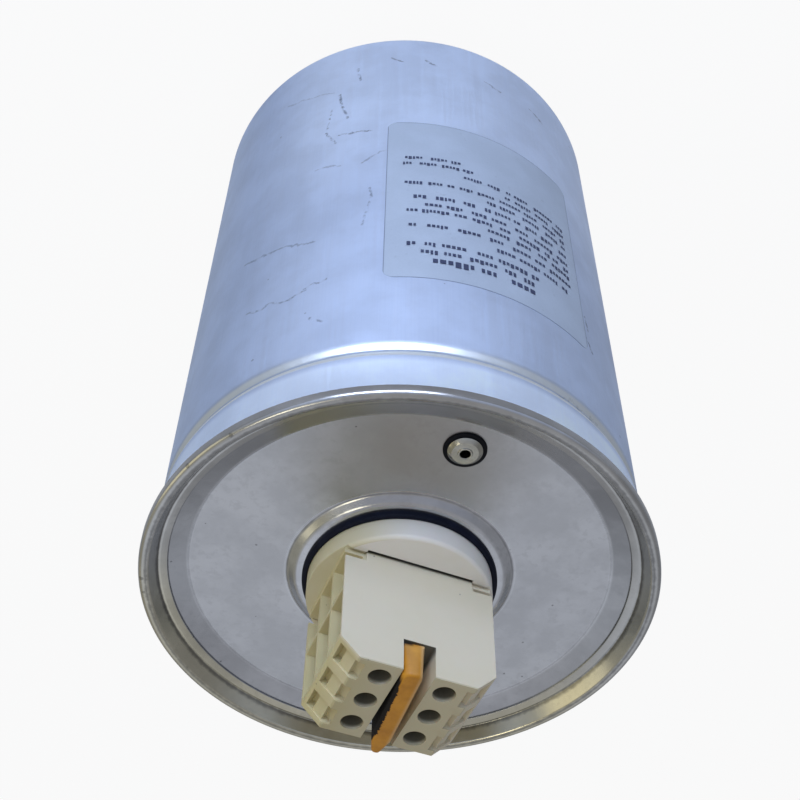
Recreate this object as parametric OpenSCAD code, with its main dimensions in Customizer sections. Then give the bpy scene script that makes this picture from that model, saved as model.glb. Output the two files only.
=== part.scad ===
// Three-phase power factor correction capacitor in a seamed aluminium can.
// +Z is up, the terminals are on top, and the front (the label's side) faces -Y.
// The origin is the centre of the can's base, where the mounting stud starts.

/* [Can] */
// Outside diameter of the can
can_d = 136; // [120:1:150]
// Height from the base to the top of the seam
can_h = 206; // [190:1:240]
// Thickness of the can's wall
can_wall = 0.87; // [0.6:0.01:1.2]
// Thickness of the can's floor
can_floor = 2.5; // [2:0.1:4]
// Outer rounding where the wall meets the floor
can_edge_r = 2.5; // [1:0.1:4]
// Distance from the top of the seam down to the middle of the expansion groove
groove_drop = 22; // [16:0.5:40]
// Width of the expansion groove
groove_w = 7; // [5:0.1:10]
// Depth of the expansion groove
groove_depth = 1.7; // [0.8:0.1:2.5]

/* [Mounting stud] */
// Thread diameter of the stud
stud_d = 12; // [8:1:16]
// Length of the stud below the base
stud_l = 16; // [10:1:25]
// Chamfer at the stud's tip
stud_chamfer = 1; // [0.5:0.1:2]

/* [Seam and lid] */
// How far the seam stands out from the can's wall
seam_overhang = 3; // [2.4:0.1:4]
// Height of the seam's outer face
seam_h = 3.7; // [3:0.1:4.2]
// Thickness of the lid's sheet
lid_t = 1; // [0.8:0.05:1.2]
// Depth of the lid's flat disc below the top of the seam
lid_drop = 7.5; // [6.8:0.1:10]
// Distance of the foot of the lid's steep wall from the can's inner face
chuck_room = 0.88; // [0.8:0.01:1.4]
// Depth of the foot of the steep wall
chuck_drop = 3.8; // [3.5:0.1:4.2]
// Inset of the ledge's inner edge from the can's wall
ledge_inset = 4.5; // [4:0.1:6]
// Depth of the ledge's inner edge
ledge_drop = 4.9; // [4.6:0.1:5.6]
// Height of the step at the ledge's inner edge
ledge_step = 0.5; // [0.2:0.1:0.6]
// Depth of the channel at the foot of the steep wall
channel_depth = 0.4; // [0.2:0.05:0.5]
// Width of the channel, up to the ledge's lip
channel_w = 0.8; // [0.6:0.05:1]
// Inset of the flat disc's edge from the can's wall
disc_inset = 9.8; // [8:0.1:14]
// Width of the raised collar round the terminal
collar_w = 4.3; // [3:0.1:6]
// Rise of the collar above the flat disc
collar_rise = 2.2; // [1.5:0.1:3]

/* [Filling plug] */
// Distance of the plug from the can's wall
plug_inset = 18.6; // [16:0.1:24]
// Direction of the plug, measured from +X
plug_angle = -87.7; // [-180:0.1:180]
// Diameter of the plug's head
plug_head_d = 9.2; // [8:0.1:10]
// Diameter of the plug's shank
plug_shank_d = 5.2; // [4.6:0.1:6]
// Diameter of the hole in the plug's head
plug_hole_d = 2.8; // [2:0.1:3.2]
// Outside diameter of the rubber ring under the head
plug_ring_d = 11.4; // [10.4:0.1:13]
// Thickness of the rubber ring
plug_ring_t = 0.6; // [0.5:0.1:1.4]
// Height of the head above the rubber ring
plug_head_h = 1.4; // [1.2:0.1:2.6]
// Length of the shank below the rubber ring
plug_shank_l = 9; // [6:0.5:12]

/* [Rating label] */
// Width of the label along the can's wall
label_w = 66; // [40:1:90]
// Height of the label
label_h = 88.5; // [60:0.5:100]
// Distance from the top of the seam down to the label's upper edge
label_drop = 53.6; // [32:0.1:90]
// Direction of the label's middle, measured from +X
label_angle = -91.3; // [-180:0.1:180]
// Thickness of the label's foil
label_t = 0.15; // [0.08:0.01:0.3]
// Rounding of the label's corners
label_corner_r = 3.5; // [1:0.1:6]

/* [Terminal base] */
// Diameter of the round base
base_d = 50.8; // [49:0.1:56]
// Height of the base's top above the seam
base_rise = 3; // [2:0.1:6]
// Depth of the base's lower end below the lid's sheet
base_depth = 5.5; // [4.5:0.1:8]
// Rounding of the base's top edge
base_edge_r = 1.2; // [0.5:0.1:2]
// Wall of the hollow base
base_wall = 3; // [2:0.1:4]
// Thickness of the base's top
base_top_t = 5; // [3:0.1:6]
// Width of the clamped flange beyond the base's wall
flange_w = 8.6; // [7.5:0.1:12]
// Thickness of the flange
flange_t = 3; // [2:0.1:4]
// Depth to which the housing is let into the base
seat_sink = 0.8; // [0.4:0.1:1.5]
// Width of the rubber ring between the base and the collar
seal_w = 1.5; // [1:0.1:2]
// Height of the rubber ring above the collar's edge
seal_rise = 1.9; // [1:0.1:2.5]

/* [Terminal housing] */
// Width of the housing, across the wire entries
housing_w = 41.6; // [40:0.1:46]
// Length of the housing, along the row of phases
housing_l = 29.4; // [28.6:0.1:33]
// Height of the housing above its seat
housing_h = 36; // [35:0.1:40]
// Chamfer between the top and the sides
housing_chamfer = 5.4; // [5:0.1:6]
// Wall between the slot and the wire entries
slot_wall = 1.02; // [0.8:0.01:1.5]
// Depth of the resistor's slot
slot_d = 9.6; // [8.4:0.1:10.4]
// Floor left under the slot, above the contact bars
slot_floor_t = 3.9; // [3.1:0.1:4.6]
// Thickness of the housing's front and rear walls
end_wall_t = 0.85; // [0.7:0.05:1.4]
// Thickness of the ribs between the bays
rib_t = 1.1; // [0.8:0.1:1.4]
// Height of the pockets' lower edge above the seat
pocket_sill = 1.6; // [1:0.1:3]
// Depth of the lower pockets
pocket_depth = 5; // [3:0.1:7]
// Strip left between the wire entry and the chamfer
entry_lip = 1.2; // [1:0.1:1.5]
// Diameter of the screw holes
screw_hole_d = 5.9; // [5.8:0.1:6.5]
// Strip left beside each small window in the chamfers
window_margin = 1.1; // [0.8:0.1:1.6]
// Depth of the small windows
window_depth = 2.4; // [1.5:0.1:2.5]
// Width of the bar across each window
window_bar_w = 3.4; // [2:0.1:4]
// Depth of the bar below the chamfer
window_bar_sink = 0.6; // [0:0.1:1]

/* [Wire clamps] */
// Length of a clamp's cage, along the wire
cage_l = 6.4; // [5:0.1:6.6]
// Room on either side of a cage in its bay
cage_side_room = 0.45; // [0.3:0.05:0.7]
// Height of the space for the wire, under the contact bar
wire_h = 5.05; // [4.6:0.05:5.5]
// Room between the contact bar and the cage's top
cage_play = 1.75; // [1.2:0.05:2]
// Wall of the cage
cage_wall = 0.8; // [0.6:0.1:0.9]
// Thickness of the cage's floor
cage_floor = 1.2; // [0.8:0.1:1.6]
// Thickness of the cage's threaded top
cage_top = 2.2; // [1.8:0.1:2.6]
// Thread diameter of the clamp screws
clamp_screw_d = 4; // [3:0.1:4.4]
// Head diameter of the clamp screws
clamp_head_d = 5.6; // [5:0.1:5.7]
// Head height of the clamp screws
clamp_head_h = 2.5; // [2:0.1:3]
// Depth of the screw heads below the housing's top
clamp_head_drop = 5; // [4:0.1:5.5]

/* [Contact bars] */
// Room on either side of a contact bar in its cage
bar_side_room = 0.2; // [0.1:0.05:0.4]
// Thickness of a contact bar
bar_t = 1.5; // [1:0.1:1.8]
// Length of a bar that shows past its cage
bar_overhang = 0.7; // [0:0.1:2]
// Length of a bar's tail below the base's top
tail_l = 10; // [7:0.1:11]

/* [Discharge resistor] */
// Length of the ceramic body
resistor_l = 33; // [30:0.5:36]
// Thickness of the ceramic body
resistor_t = 5.2; // [4.5:0.1:5.3]
// Height of the body above the housing's top
resistor_rise = 1.5; // [0.5:0.1:4]
// Room on either side of the body in its slot
resistor_room = 1.68; // [1:0.01:2]
// Share of that room that the turned body takes up
resistor_turn_share = 0.91; // [0:0.01:0.95]
// Shift of the body towards the rear
resistor_shift = 1.2; // [0:0.1:1.4]
// Rounding of the body's upright edges at the front
resistor_front_r = 1.4; // [0.5:0.1:2]
// Rounding of the body's upright edges at the rear
resistor_rear_r = 2.4; // [1:0.1:2.4]
// Rounding of the body's long top edges
resistor_top_r = 1; // [0.5:0.1:1.5]
// Diameter of the contact pins under the body
pin_d = 1.2; // [0.8:0.1:1.6]

/* [Winding] */
// Distance from the top of the seam down to the top of the windings
headroom = 38; // [34:0.5:60]
// Room between the windings and the can's wall
wall_room = 4.13; // [3:0.01:8]
// Inside diameter of the inner winding
core_d = 20; // [16:1:24]
// Wall of the core tube
core_wall = 2; // [1.5:0.1:3]
// Film left between two windings
winding_gap = 0.3; // [0.2:0.05:0.6]
// Thickness of the two insulating cups
cup_t = 1.5; // [1:0.1:2.5]
// Height of the cups' rims
cup_rim = 6; // [3:0.5:10]
// Diameter of the leads
lead_d = 3; // [2:0.1:3.4]
// Diameter of the beads that sleeve a lead's bends
lead_joint_d = 4; // [3.5:0.1:5]
// Straight length of a lead above its winding
lead_rise = 8; // [6:0.5:9]
// Straight length of a lead below its contact bar
lead_drop = 8; // [6:0.5:9]

/* [Hidden] */

// Steps in a rounded corner of a turned outline, and facets asked of a round shape
arc_steps = 6;
$fn = 96;
// Overrun of every cut past the face it leaves, and clearance of pieces that slide together
overrun = 1;
fit_gap = 0.1;

// Roundings of the can's and the lid's folded sheet
groove_floor_r = 2.6;
groove_shoulder_r = 1.6;
can_inner_r = 1.5;
collar_foot_r = 2;
disc_edge_r = 1.5;
ledge_edge_r = 0.8;
lip_r = 0.25;
channel_r = 0.3;
seam_inner_r = 1;
seam_outer_r = 1.3;
seam_lower_r = 0.8;
// Length of the can's flange inside the seam
flare_l = 3.6;
// Run of the step at the ledge's inner edge
ledge_step_run = 0.15;
// Radius at which the lid's steep wall would reach the top of the seam, inside the can's radius
chuck_top_inset = -0.28;

// Sizes of the plug: head's rim, flat table, boss round the hole, and closed end of the shank
plug_rim_t = 0.3;
plug_table_d = 7;
plug_boss_d = 3.8;
plug_boss_h = 0.3;
plug_end_t = 1.5;
plug_ring_edge_r = 0.25;

// Film of glue under the label
label_glue = 0.05;

// Recesses of the base along the housing's front and rear foot
foot_l = 30.1;
foot_reach = 1.2;
foot_depth = 3.6;
// Height of the notches in the housing's lower corners, above the base
notch_h = 2.6;
seat_gap = 0.3;

// Screw recesses
recess_w = 0.9;
recess_depth = 1.2;

// Places along the chamfer, as shares of its slope
window_start_share = 0.13;
window_bar_share = 0.62;
window_end_share = 1.17;

// Where the leads leave the windings, as a share of each winding's thickness
lead_place_share = 0.5;

// Radii and heights that pieces share
can_r = can_d / 2;
can_inner = can_r - can_wall;
chuck_inset = can_wall + chuck_room;
seam_r = can_r + seam_overhang;
base_r = base_d / 2;
collar_r = base_r + seal_w;
disc_z = can_h - lid_drop;
sheet_z = disc_z - lid_t;
collar_top_z = disc_z + collar_rise;
base_top_z = can_h + base_rise;
base_bottom_z = sheet_z - base_depth;
seat_z = base_top_z - seat_sink;
housing_top_z = seat_z + housing_h;
slot_z = housing_top_z - slot_d;
bar_top_z = slot_z - slot_floor_t;
bar_low_z = bar_top_z - bar_t;
entry_floor_z = bar_low_z - wire_h - cage_floor;
entry_top_z = housing_top_z - housing_chamfer - entry_lip;
slot_w = resistor_t + 2 * resistor_room;
entry_inner_x = slot_w / 2 + slot_wall;
screw_x = entry_inner_x + fit_gap + cage_l / 2;
bar_reach = screw_x + cage_l / 2 + bar_overhang;
bay_count = 3;
pocket_w = (housing_l - 2 * end_wall_t - (bay_count - 1) * rib_t) / bay_count;
bay_pitch = pocket_w + rib_t;
window_w = pocket_w - 2 * window_margin;
cage_w = pocket_w - 2 * cage_side_room;
cage_h = cage_floor + wire_h + bar_t + cage_play + cage_top;
bar_w = cage_w - 2 * cage_wall - 2 * bar_side_room;
chamfer_slope = housing_chamfer * sqrt(2);
resistor_turn = atan(resistor_turn_share * resistor_room / (housing_l / 2 + resistor_shift));
tail_z = seat_z - tail_l;
stack_z = can_floor + cup_t;
stack_top_z = can_h - headroom;
winding_h = stack_top_z - stack_z;
label_z = can_h - label_drop - label_h;
core_r = core_d / 2;
winding_r = can_inner - wall_room;
plug_pos_r = can_r - plug_inset;
bays = [-bay_pitch, 0, bay_pitch];

// Radii that give the three windings the same volume of film
winding_area = (winding_r * winding_r - core_r * core_r) / bay_count;
inner_winding_r = sqrt(core_r * core_r + winding_area);
middle_winding_r = sqrt(winding_r * winding_r - winding_area);
winding_radii = [core_r, inner_winding_r, middle_winding_r, winding_r];

// Lead of each contact bar: which winding it starts on, and in which direction from the axis
lead_windings = [2, 0, 1];
lead_angles = [-90, 0, 90];

// Points of a rounded corner b between its neighbours a and c
function unit(v) = v / norm(v);
function corner(a, b, c, r) =
    let (
        u = unit(a - b),
        v = unit(c - b),
        half = acos(u * v) / 2,
        middle = b + unit(u + v) * r / sin(half),
        from = b + u * r / tan(half) - middle,
        to = b + v * r / tan(half) - middle,
        start = atan2(from.y, from.x),
        step = atan2(from.x * to.y - from.y * to.x, from * to) / arc_steps
    )
    [for (i = [0 : arc_steps]) middle + r * [cos(start + step * i), sin(start + step * i)]];

// Closed outline with its corners rounded by the radii given beside them
function rounded(points, radii) =
    [for (i = [0 : len(points) - 1])
        let (
            a = points[(i + len(points) - 1) % len(points)],
            c = points[(i + 1) % len(points)]
        )
        each radii[i] == 0 ? [points[i]] : corner(a, points[i], c, radii[i])];

// Open line shifted by t to its right, as the other face of a folded sheet
function right_of(v) = [v.y, -v.x] / norm(v);
function shifted(points, t) =
    let (last = len(points) - 1)
    [for (i = [0 : last])
        let (
            n1 = right_of(points[max(i, 1)] - points[max(i, 1) - 1]),
            n2 = right_of(points[min(i, last - 1) + 1] - points[min(i, last - 1)])
        )
        points[i] + t * (n1 + n2) / (1 + n1 * n2)];

// Upper face of the lid's sheet from the collar out to the seam, and its lower face
lid_upper = [
    [collar_r, collar_top_z],
    [collar_r + collar_w, disc_z],
    [can_r - disc_inset, disc_z],
    [can_r - ledge_inset, can_h - ledge_drop],
    [can_r - chuck_inset, can_h - chuck_drop],
    [can_r - chuck_top_inset, can_h]
];
lid_lower = shifted(lid_upper, lid_t);
chuck_foot = lid_lower[4];
chuck_run = unit(lid_upper[5] - lid_upper[4]);
chuck_slope = chuck_run.y / chuck_run.x;
collar_under_z = lid_lower[1].y + (lid_lower[1].x - collar_r) * (collar_rise / collar_w);

// Upper face between the disc and the steep wall: step, ledge, lip and channel
ledge_in = lid_upper[3];
ledge_out = lid_upper[4];
ledge_slope = (ledge_out.y - ledge_in.y) / (ledge_out.x - ledge_in.x);
lid_steps = [
    ledge_in - [0, ledge_step],
    ledge_in + ledge_step_run * [1, ledge_slope],
    ledge_out - channel_w * [1, ledge_slope],
    ledge_out - channel_depth * chuck_run
];

// The can's flange lies on the lid's steep wall, inside the seam
flare_start = [can_inner, chuck_foot.y + (can_inner - chuck_foot.x) * chuck_slope];
flare_tip = flare_start + chuck_run * flare_l;
flare_back = flare_tip + right_of(chuck_run) * can_wall;
flare_root = [can_r, flare_back.y - (flare_back.x - can_r) * chuck_slope];
seam_mouth = [can_r + (can_h - seam_h - flare_root.y) / chuck_slope, can_h - seam_h];

// Expansion groove, seen from outside and from inside the wall
groove_z = can_h - groove_drop;
groove_outer = [
    [can_r, can_edge_r],
    [can_r, groove_z - groove_w / 2],
    [can_r - groove_depth, groove_z],
    [can_r, groove_z + groove_w / 2],
    flare_root
];
groove_inner = shifted(groove_outer, -can_wall);

module turned(points) {
    rotate_extrude() polygon(points);
}

// Straight round rod between two points
module rod(from, to, d) {
    run = to - from;
    translate(from)
        rotate([0, acos(run.z / norm(run)), atan2(run.y, run.x)])
            cylinder(h = norm(run), d = d);
}

// Block given by its lowest and highest corners
module block(low, high) {
    translate(low) cube(high - low);
}

// Both rows of three places on the housing
module both_sides() {
    for (side = [0, 1])
        mirror([side, 0, 0])
            for (y = bays)
                translate([0, y, 0]) children();
}

// Drawn can with its stud, groove and flared flange
module can() {
    stud_r = stud_d / 2;
    points = [
        [0, -stud_l],
        [stud_r - stud_chamfer, -stud_l],
        [stud_r, stud_chamfer - stud_l],
        [stud_r, 0],
        [can_r, 0],
        groove_outer[1], groove_outer[2], groove_outer[3],
        flare_root, flare_back, flare_tip, flare_start,
        groove_inner[3], groove_inner[2], groove_inner[1],
        [can_inner, can_floor],
        [0, can_floor]
    ];
    radii = [
        0, 0, 0, 0, can_edge_r,
        groove_shoulder_r, groove_floor_r, groove_shoulder_r,
        0, 0, 0, 0,
        groove_shoulder_r, groove_floor_r, groove_shoulder_r,
        can_inner_r, 0
    ];
    color("silver") turned(rounded(points, radii));
}

// Lid: stepped sheet, raised collar and the rolled seam that grips the can's flange
module lid() {
    points = [
        lid_upper[0], lid_upper[1], lid_upper[2], each lid_steps, lid_upper[5],
        [seam_r, can_h],
        [seam_r, can_h - seam_h],
        seam_mouth, flare_back, flare_tip,
        lid_lower[4], lid_lower[3], lid_lower[2], lid_lower[1],
        [collar_r, collar_under_z]
    ];
    radii = [
        0, collar_foot_r, disc_edge_r, 0, 0, lip_r, channel_r, seam_inner_r,
        seam_outer_r, seam_lower_r,
        0, 0, 0,
        0, ledge_edge_r, disc_edge_r, collar_foot_r, 0
    ];
    color("lightgray")
        difference() {
            turned(rounded(points, radii));
            plug_place()
                translate([0, 0, -overrun - lid_t])
                    cylinder(h = lid_t + 2 * overrun, d = plug_shank_d);
        }
}

// Rubber ring pressed between the collar and the base
module terminal_seal() {
    top_z = collar_top_z + seal_rise;
    points = [
        [base_r, sheet_z],
        [lid_lower[1].x, sheet_z],
        [collar_r, collar_under_z],
        [collar_r, top_z],
        [base_r, top_z]
    ];
    color("midnightblue") turned(rounded(points, [0, 0, 0, seal_w / 2, 0]));
}

// Hollow round base, clamped under the lid by its flange
module terminal_base() {
    flange_r = base_r + flange_w;
    hollow_r = base_r - base_wall;
    hollow_z = base_top_z - base_top_t;
    points = [
        [hollow_r, base_bottom_z],
        [base_r, base_bottom_z],
        [base_r, sheet_z - flange_t],
        [flange_r, sheet_z - flange_t],
        [flange_r, sheet_z],
        [base_r, sheet_z],
        [base_r, base_top_z],
        [0, base_top_z],
        [0, hollow_z],
        [hollow_r, hollow_z]
    ];
    seat_y = housing_l / 2 + seat_gap;
    color("ivory")
        difference() {
            turned(rounded(points, [0, 0, 0, 0, 0, 0, base_edge_r, 0, 0, 0]));
            block([-base_d, -seat_y, seat_z], [base_d, seat_y, base_top_z + overrun]);
            for (y = [-housing_l / 2 - foot_reach, housing_l / 2])
                translate([-foot_l / 2, y, base_top_z - foot_depth])
                    cube([foot_l, foot_reach, foot_depth + overrun]);
            for (y = bays)
                tail_slot(y, hollow_z - overrun, seat_z + overrun);
        }
}

// Upright slot for the tail of a contact bar
module tail_slot(y, low, high) {
    x = bar_t / 2 + fit_gap;
    half = bar_w / 2 + fit_gap;
    block([-x, y - half, low], [x, y + half, high]);
}

// Moulded housing: wire entries and pockets in three bays on both sides
module terminal_housing() {
    half_w = housing_w / 2;
    shoulder = half_w - housing_chamfer;
    color("ivory")
        difference() {
            union() {
                difference() {
                    translate([0, housing_l / 2, seat_z])
                        rotate([90, 0, 0])
                            linear_extrude(housing_l)
                                polygon([
                                    [-half_w, 0], [half_w, 0],
                                    [half_w, housing_h - housing_chamfer], [shoulder, housing_h],
                                    [-shoulder, housing_h], [-half_w, housing_h - housing_chamfer]
                                ]);
                    both_sides() bay_cuts();
                }
                both_sides() window_bar();
            }
            block([-slot_w / 2, -housing_l, slot_z], [slot_w / 2, housing_l, housing_top_z + overrun]);
            corner_notches();
            for (y = bays) {
                tail_slot(y, seat_z - overrun, bar_low_z + overrun);
                bar_channel(y);
                translate([pin_x(y), y, bar_low_z]) cylinder(h = slot_z, d = pin_d + 2 * fit_gap);
            }
        }
}

// Notches through the front and rear walls, at the corners beside the base's recesses
module corner_notches() {
    width = (housing_w - foot_l) / 2 + overrun;
    low = seat_z - overrun;
    for (x = [foot_l / 2, -foot_l / 2 - width], y = [-housing_l / 2 - overrun, housing_l / 2 - end_wall_t])
        translate([x, y, low])
            cube([width, end_wall_t + overrun, base_top_z + notch_h - low]);
}

// What is cut out of one bay: lower pocket, wire entry, screw hole and chamfer window
module bay_cuts() {
    outside = housing_w / 2 + overrun;
    y = pocket_w / 2;
    block(
        [housing_w / 2 - pocket_depth, -y, seat_z + pocket_sill],
        [outside, y, entry_floor_z - rib_t]
    );
    block([entry_inner_x, -y, entry_floor_z], [outside, y, entry_top_z]);
    translate([screw_x, 0, entry_top_z - overrun])
        cylinder(h = housing_top_z - entry_top_z + 2 * overrun, d = screw_hole_d);
    on_chamfer()
        block(
            [window_start_share * chamfer_slope, -window_w / 2, -window_depth],
            [window_end_share * chamfer_slope, window_w / 2, housing_chamfer]
        );
}

// Frame that starts at the chamfer's lower edge, X up the slope and Z out of it
module on_chamfer() {
    translate([housing_w / 2, 0, housing_top_z - housing_chamfer])
        rotate([0, -135, 0])
            mirror([0, 0, 1])
                children();
}

// Bar that is left standing across a chamfer window
module window_bar() {
    middle = window_bar_share * chamfer_slope;
    on_chamfer()
        block(
            [middle - window_bar_w / 2, -window_w / 2, -window_depth],
            [middle + window_bar_w / 2, window_w / 2, -window_bar_sink]
        );
}

// Channel through which a contact bar crosses under the slot
module bar_channel(y) {
    half = bar_w / 2 + fit_gap;
    block([-screw_x, y - half, bar_low_z], [screw_x, y + half, bar_top_z + fit_gap]);
}

// Place of the resistor's middle, and of a pin on its turned centre line
module resistor_place() {
    translate([0, resistor_shift, slot_z]) rotate([0, 0, resistor_turn]) children();
}
function pin_x(y) = (resistor_shift - y) * tan(resistor_turn);

// Ceramic discharge resistor, rounded in plan and along its top
module discharge_resistor() {
    half_l = resistor_l / 2;
    half_t = resistor_t / 2;
    height = housing_top_z + resistor_rise - slot_z;
    plan = [[half_t, -half_l], [half_t, half_l], [-half_t, half_l], [-half_t, -half_l]];
    end = [[half_t, 0], [half_t, height], [-half_t, height], [-half_t, 0]];
    plan_radii = [resistor_front_r, resistor_rear_r, resistor_rear_r, resistor_front_r];
    color("goldenrod")
        resistor_place()
            intersection() {
                linear_extrude(height) polygon(rounded(plan, plan_radii));
                translate([0, resistor_l, 0])
                    rotate([90, 0, 0])
                        linear_extrude(2 * resistor_l)
                            polygon(rounded(end, [0, resistor_top_r, resistor_top_r, 0]));
            }
}

// Pins that join the resistor to the three contact bars
module resistor_pins() {
    color("gainsboro")
        for (y = bays)
            translate([pin_x(y), y, bar_top_z]) cylinder(h = slot_z - bar_top_z, d = pin_d);
}

// Six clamp screws, standing on the contact bars
module clamp_screws() {
    head_z = housing_top_z - clamp_head_drop;
    color("silver")
        both_sides()
            translate([screw_x, 0, 0])
                difference() {
                    union() {
                        translate([0, 0, bar_top_z]) cylinder(h = head_z - bar_top_z, d = clamp_screw_d);
                        translate([0, 0, head_z - clamp_head_h])
                            cylinder(h = clamp_head_h, d = clamp_head_d);
                    }
                    block(
                        [-clamp_head_d, -recess_w / 2, head_z - recess_depth],
                        [clamp_head_d, recess_w / 2, head_z + overrun]
                    );
                }
}

// Six cages that draw the wires up against the contact bars
module wire_clamps() {
    inner_w = cage_w - 2 * cage_wall;
    color("silver")
        both_sides()
            translate([screw_x, 0, entry_floor_z])
                difference() {
                    block([-cage_l / 2, -cage_w / 2, 0], [cage_l / 2, cage_w / 2, cage_h]);
                    block([-cage_l, -inner_w / 2, cage_floor], [cage_l, inner_w / 2, cage_h - cage_top]);
                    cylinder(h = cage_h + overrun, d = clamp_screw_d + 2 * fit_gap);
                }
}

// Flat bar of one phase, with the tail that goes down through the base
module contact_bar(y) {
    half = bar_w / 2;
    color("peru") {
        block([-bar_reach, y - half, bar_low_z], [bar_reach, y + half, bar_top_z]);
        block([-bar_t / 2, y - half, tail_z], [bar_t / 2, y + half, bar_low_z]);
    }
}
module contact_bar_front() { contact_bar(bays[0]); }
module contact_bar_middle() { contact_bar(bays[1]); }
module contact_bar_rear() { contact_bar(bays[2]); }

// Place of the filling plug on the lid's flat disc
module plug_place() {
    translate([plug_pos_r * cos(plug_angle), plug_pos_r * sin(plug_angle), disc_z]) children();
}

// Blind rivet that closes the filling hole: coned head, boss round the hole, closed shank
module filling_plug() {
    head_r = plug_head_d / 2;
    shank_r = plug_shank_d / 2;
    hole_r = plug_hole_d / 2;
    boss_r = plug_boss_d / 2;
    points = [
        [hole_r, plug_head_h],
        [boss_r, plug_head_h],
        [boss_r, plug_head_h - plug_boss_h],
        [plug_table_d / 2, plug_head_h - plug_boss_h],
        [head_r, plug_rim_t],
        [head_r, 0],
        [shank_r, 0],
        [shank_r, -plug_shank_l],
        [0, -plug_shank_l],
        [0, plug_end_t - plug_shank_l],
        [hole_r, plug_end_t - plug_shank_l]
    ];
    color("silver") plug_place() translate([0, 0, plug_ring_t]) turned(points);
}

// Rubber ring under the plug's head
module plug_seal() {
    ring_r = plug_ring_d / 2;
    shank_r = plug_shank_d / 2;
    points = [[shank_r, 0], [ring_r, 0], [ring_r, plug_ring_t], [shank_r, plug_ring_t]];
    color("black") plug_place() turned(rounded(points, [0, 0, plug_ring_edge_r, 0]));
}

// Foil label laid on the can's wall
module rating_label() {
    glue_r = can_r + label_glue;
    angle = label_w / glue_r * 180 / PI;
    half_chord = glue_r * sin(angle / 2);
    sheet = [[-half_chord, 0], [half_chord, 0], [half_chord, label_h], [-half_chord, label_h]];
    corners = [label_corner_r, label_corner_r, label_corner_r, label_corner_r];
    color("whitesmoke")
        rotate([0, 0, label_angle + 90])
            translate([0, 0, label_z])
                intersection() {
                    difference() {
                        cylinder(h = label_h, r = glue_r + label_t);
                        translate([0, 0, -overrun]) cylinder(h = label_h + 2 * overrun, r = glue_r);
                    }
                    rotate([90, 0, 0]) linear_extrude(can_d) polygon(rounded(sheet, corners));
                }
}

// Insulating cup with a rim that holds the windings' outer edge
module cup(rim_points) {
    color("whitesmoke") turned(rim_points);
}
module bottom_cup() {
    cup([
        [0, can_floor],
        [can_inner - can_inner_r, can_floor],
        [can_inner - can_inner_r, stack_z + cup_rim],
        [winding_r, stack_z + cup_rim],
        [winding_r, stack_z],
        [core_r - core_wall, stack_z],
        [core_r - core_wall, stack_z + cup_rim],
        [0, stack_z + cup_rim]
    ]);
}
module top_cup() {
    difference() {
        cup([
            [core_r - core_wall, stack_top_z],
            [winding_r, stack_top_z],
            [winding_r, stack_top_z - cup_rim],
            [can_inner - can_inner_r, stack_top_z - cup_rim],
            [can_inner - can_inner_r, stack_top_z + cup_t],
            [core_r - core_wall, stack_top_z + cup_t]
        ]);
        for (i = [0 : bay_count - 1])
            translate(lead_start(i))
                translate([0, 0, -overrun]) cylinder(h = cup_t + 2 * overrun, d = lead_d + 2 * fit_gap);
    }
}

// Tube on which the windings are wound
module core_tube() {
    color("beige")
        translate([0, 0, stack_z])
            difference() {
                cylinder(h = winding_h, r = core_r);
                translate([0, 0, -overrun]) cylinder(h = winding_h + 2 * overrun, r = core_r - core_wall);
            }
}

// One of three concentric windings of metallised film
module winding(i) {
    inner = winding_radii[i] + (i == 0 ? 0 : winding_gap);
    color("lightsteelblue")
        translate([0, 0, stack_z])
            difference() {
                cylinder(h = winding_h, r = winding_radii[i + 1]);
                translate([0, 0, -overrun]) cylinder(h = winding_h + 2 * overrun, r = inner);
            }
}
module winding_inner() { winding(0); }
module winding_middle() { winding(1); }
module winding_outer() { winding(2); }

// Lead from the top of a winding to the tail of its contact bar
function lead_radius(i) =
    winding_radii[lead_windings[i]] * (1 - lead_place_share)
    + winding_radii[lead_windings[i] + 1] * lead_place_share;
function lead_start(i) =
    [lead_radius(i) * cos(lead_angles[i]), lead_radius(i) * sin(lead_angles[i]), stack_top_z];
module lead(i) {
    start = lead_start(i);
    end = [0, bays[i], tail_z];
    low_bend = start + [0, 0, lead_rise];
    high_bend = end - [0, 0, lead_drop];
    color("firebrick") {
        rod(start, low_bend, lead_d);
        rod(low_bend, high_bend, lead_d);
        rod(high_bend, end, lead_d);
        for (bend = [low_bend, high_bend])
            translate(bend) sphere(d = lead_joint_d);
    }
}
module lead_front() { lead(0); }
module lead_middle() { lead(1); }
module lead_rear() { lead(2); }

can();
lid();
terminal_seal();
terminal_base();
terminal_housing();
discharge_resistor();
resistor_pins();
clamp_screws();
wire_clamps();
contact_bar_front();
contact_bar_middle();
contact_bar_rear();
filling_plug();
plug_seal();
rating_label();
bottom_cup();
core_tube();
winding_inner();
winding_middle();
winding_outer();
top_cup();
lead_front();
lead_middle();
lead_rear();
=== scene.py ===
"""Dresses a three-phase power factor correction capacitor: seamed can, ribbed terminals, label."""

import math
import random

import bmesh
import bpy
from bpy.props import FloatProperty, FloatVectorProperty, IntProperty, PointerProperty
from mathutils import Matrix, Vector


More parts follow.
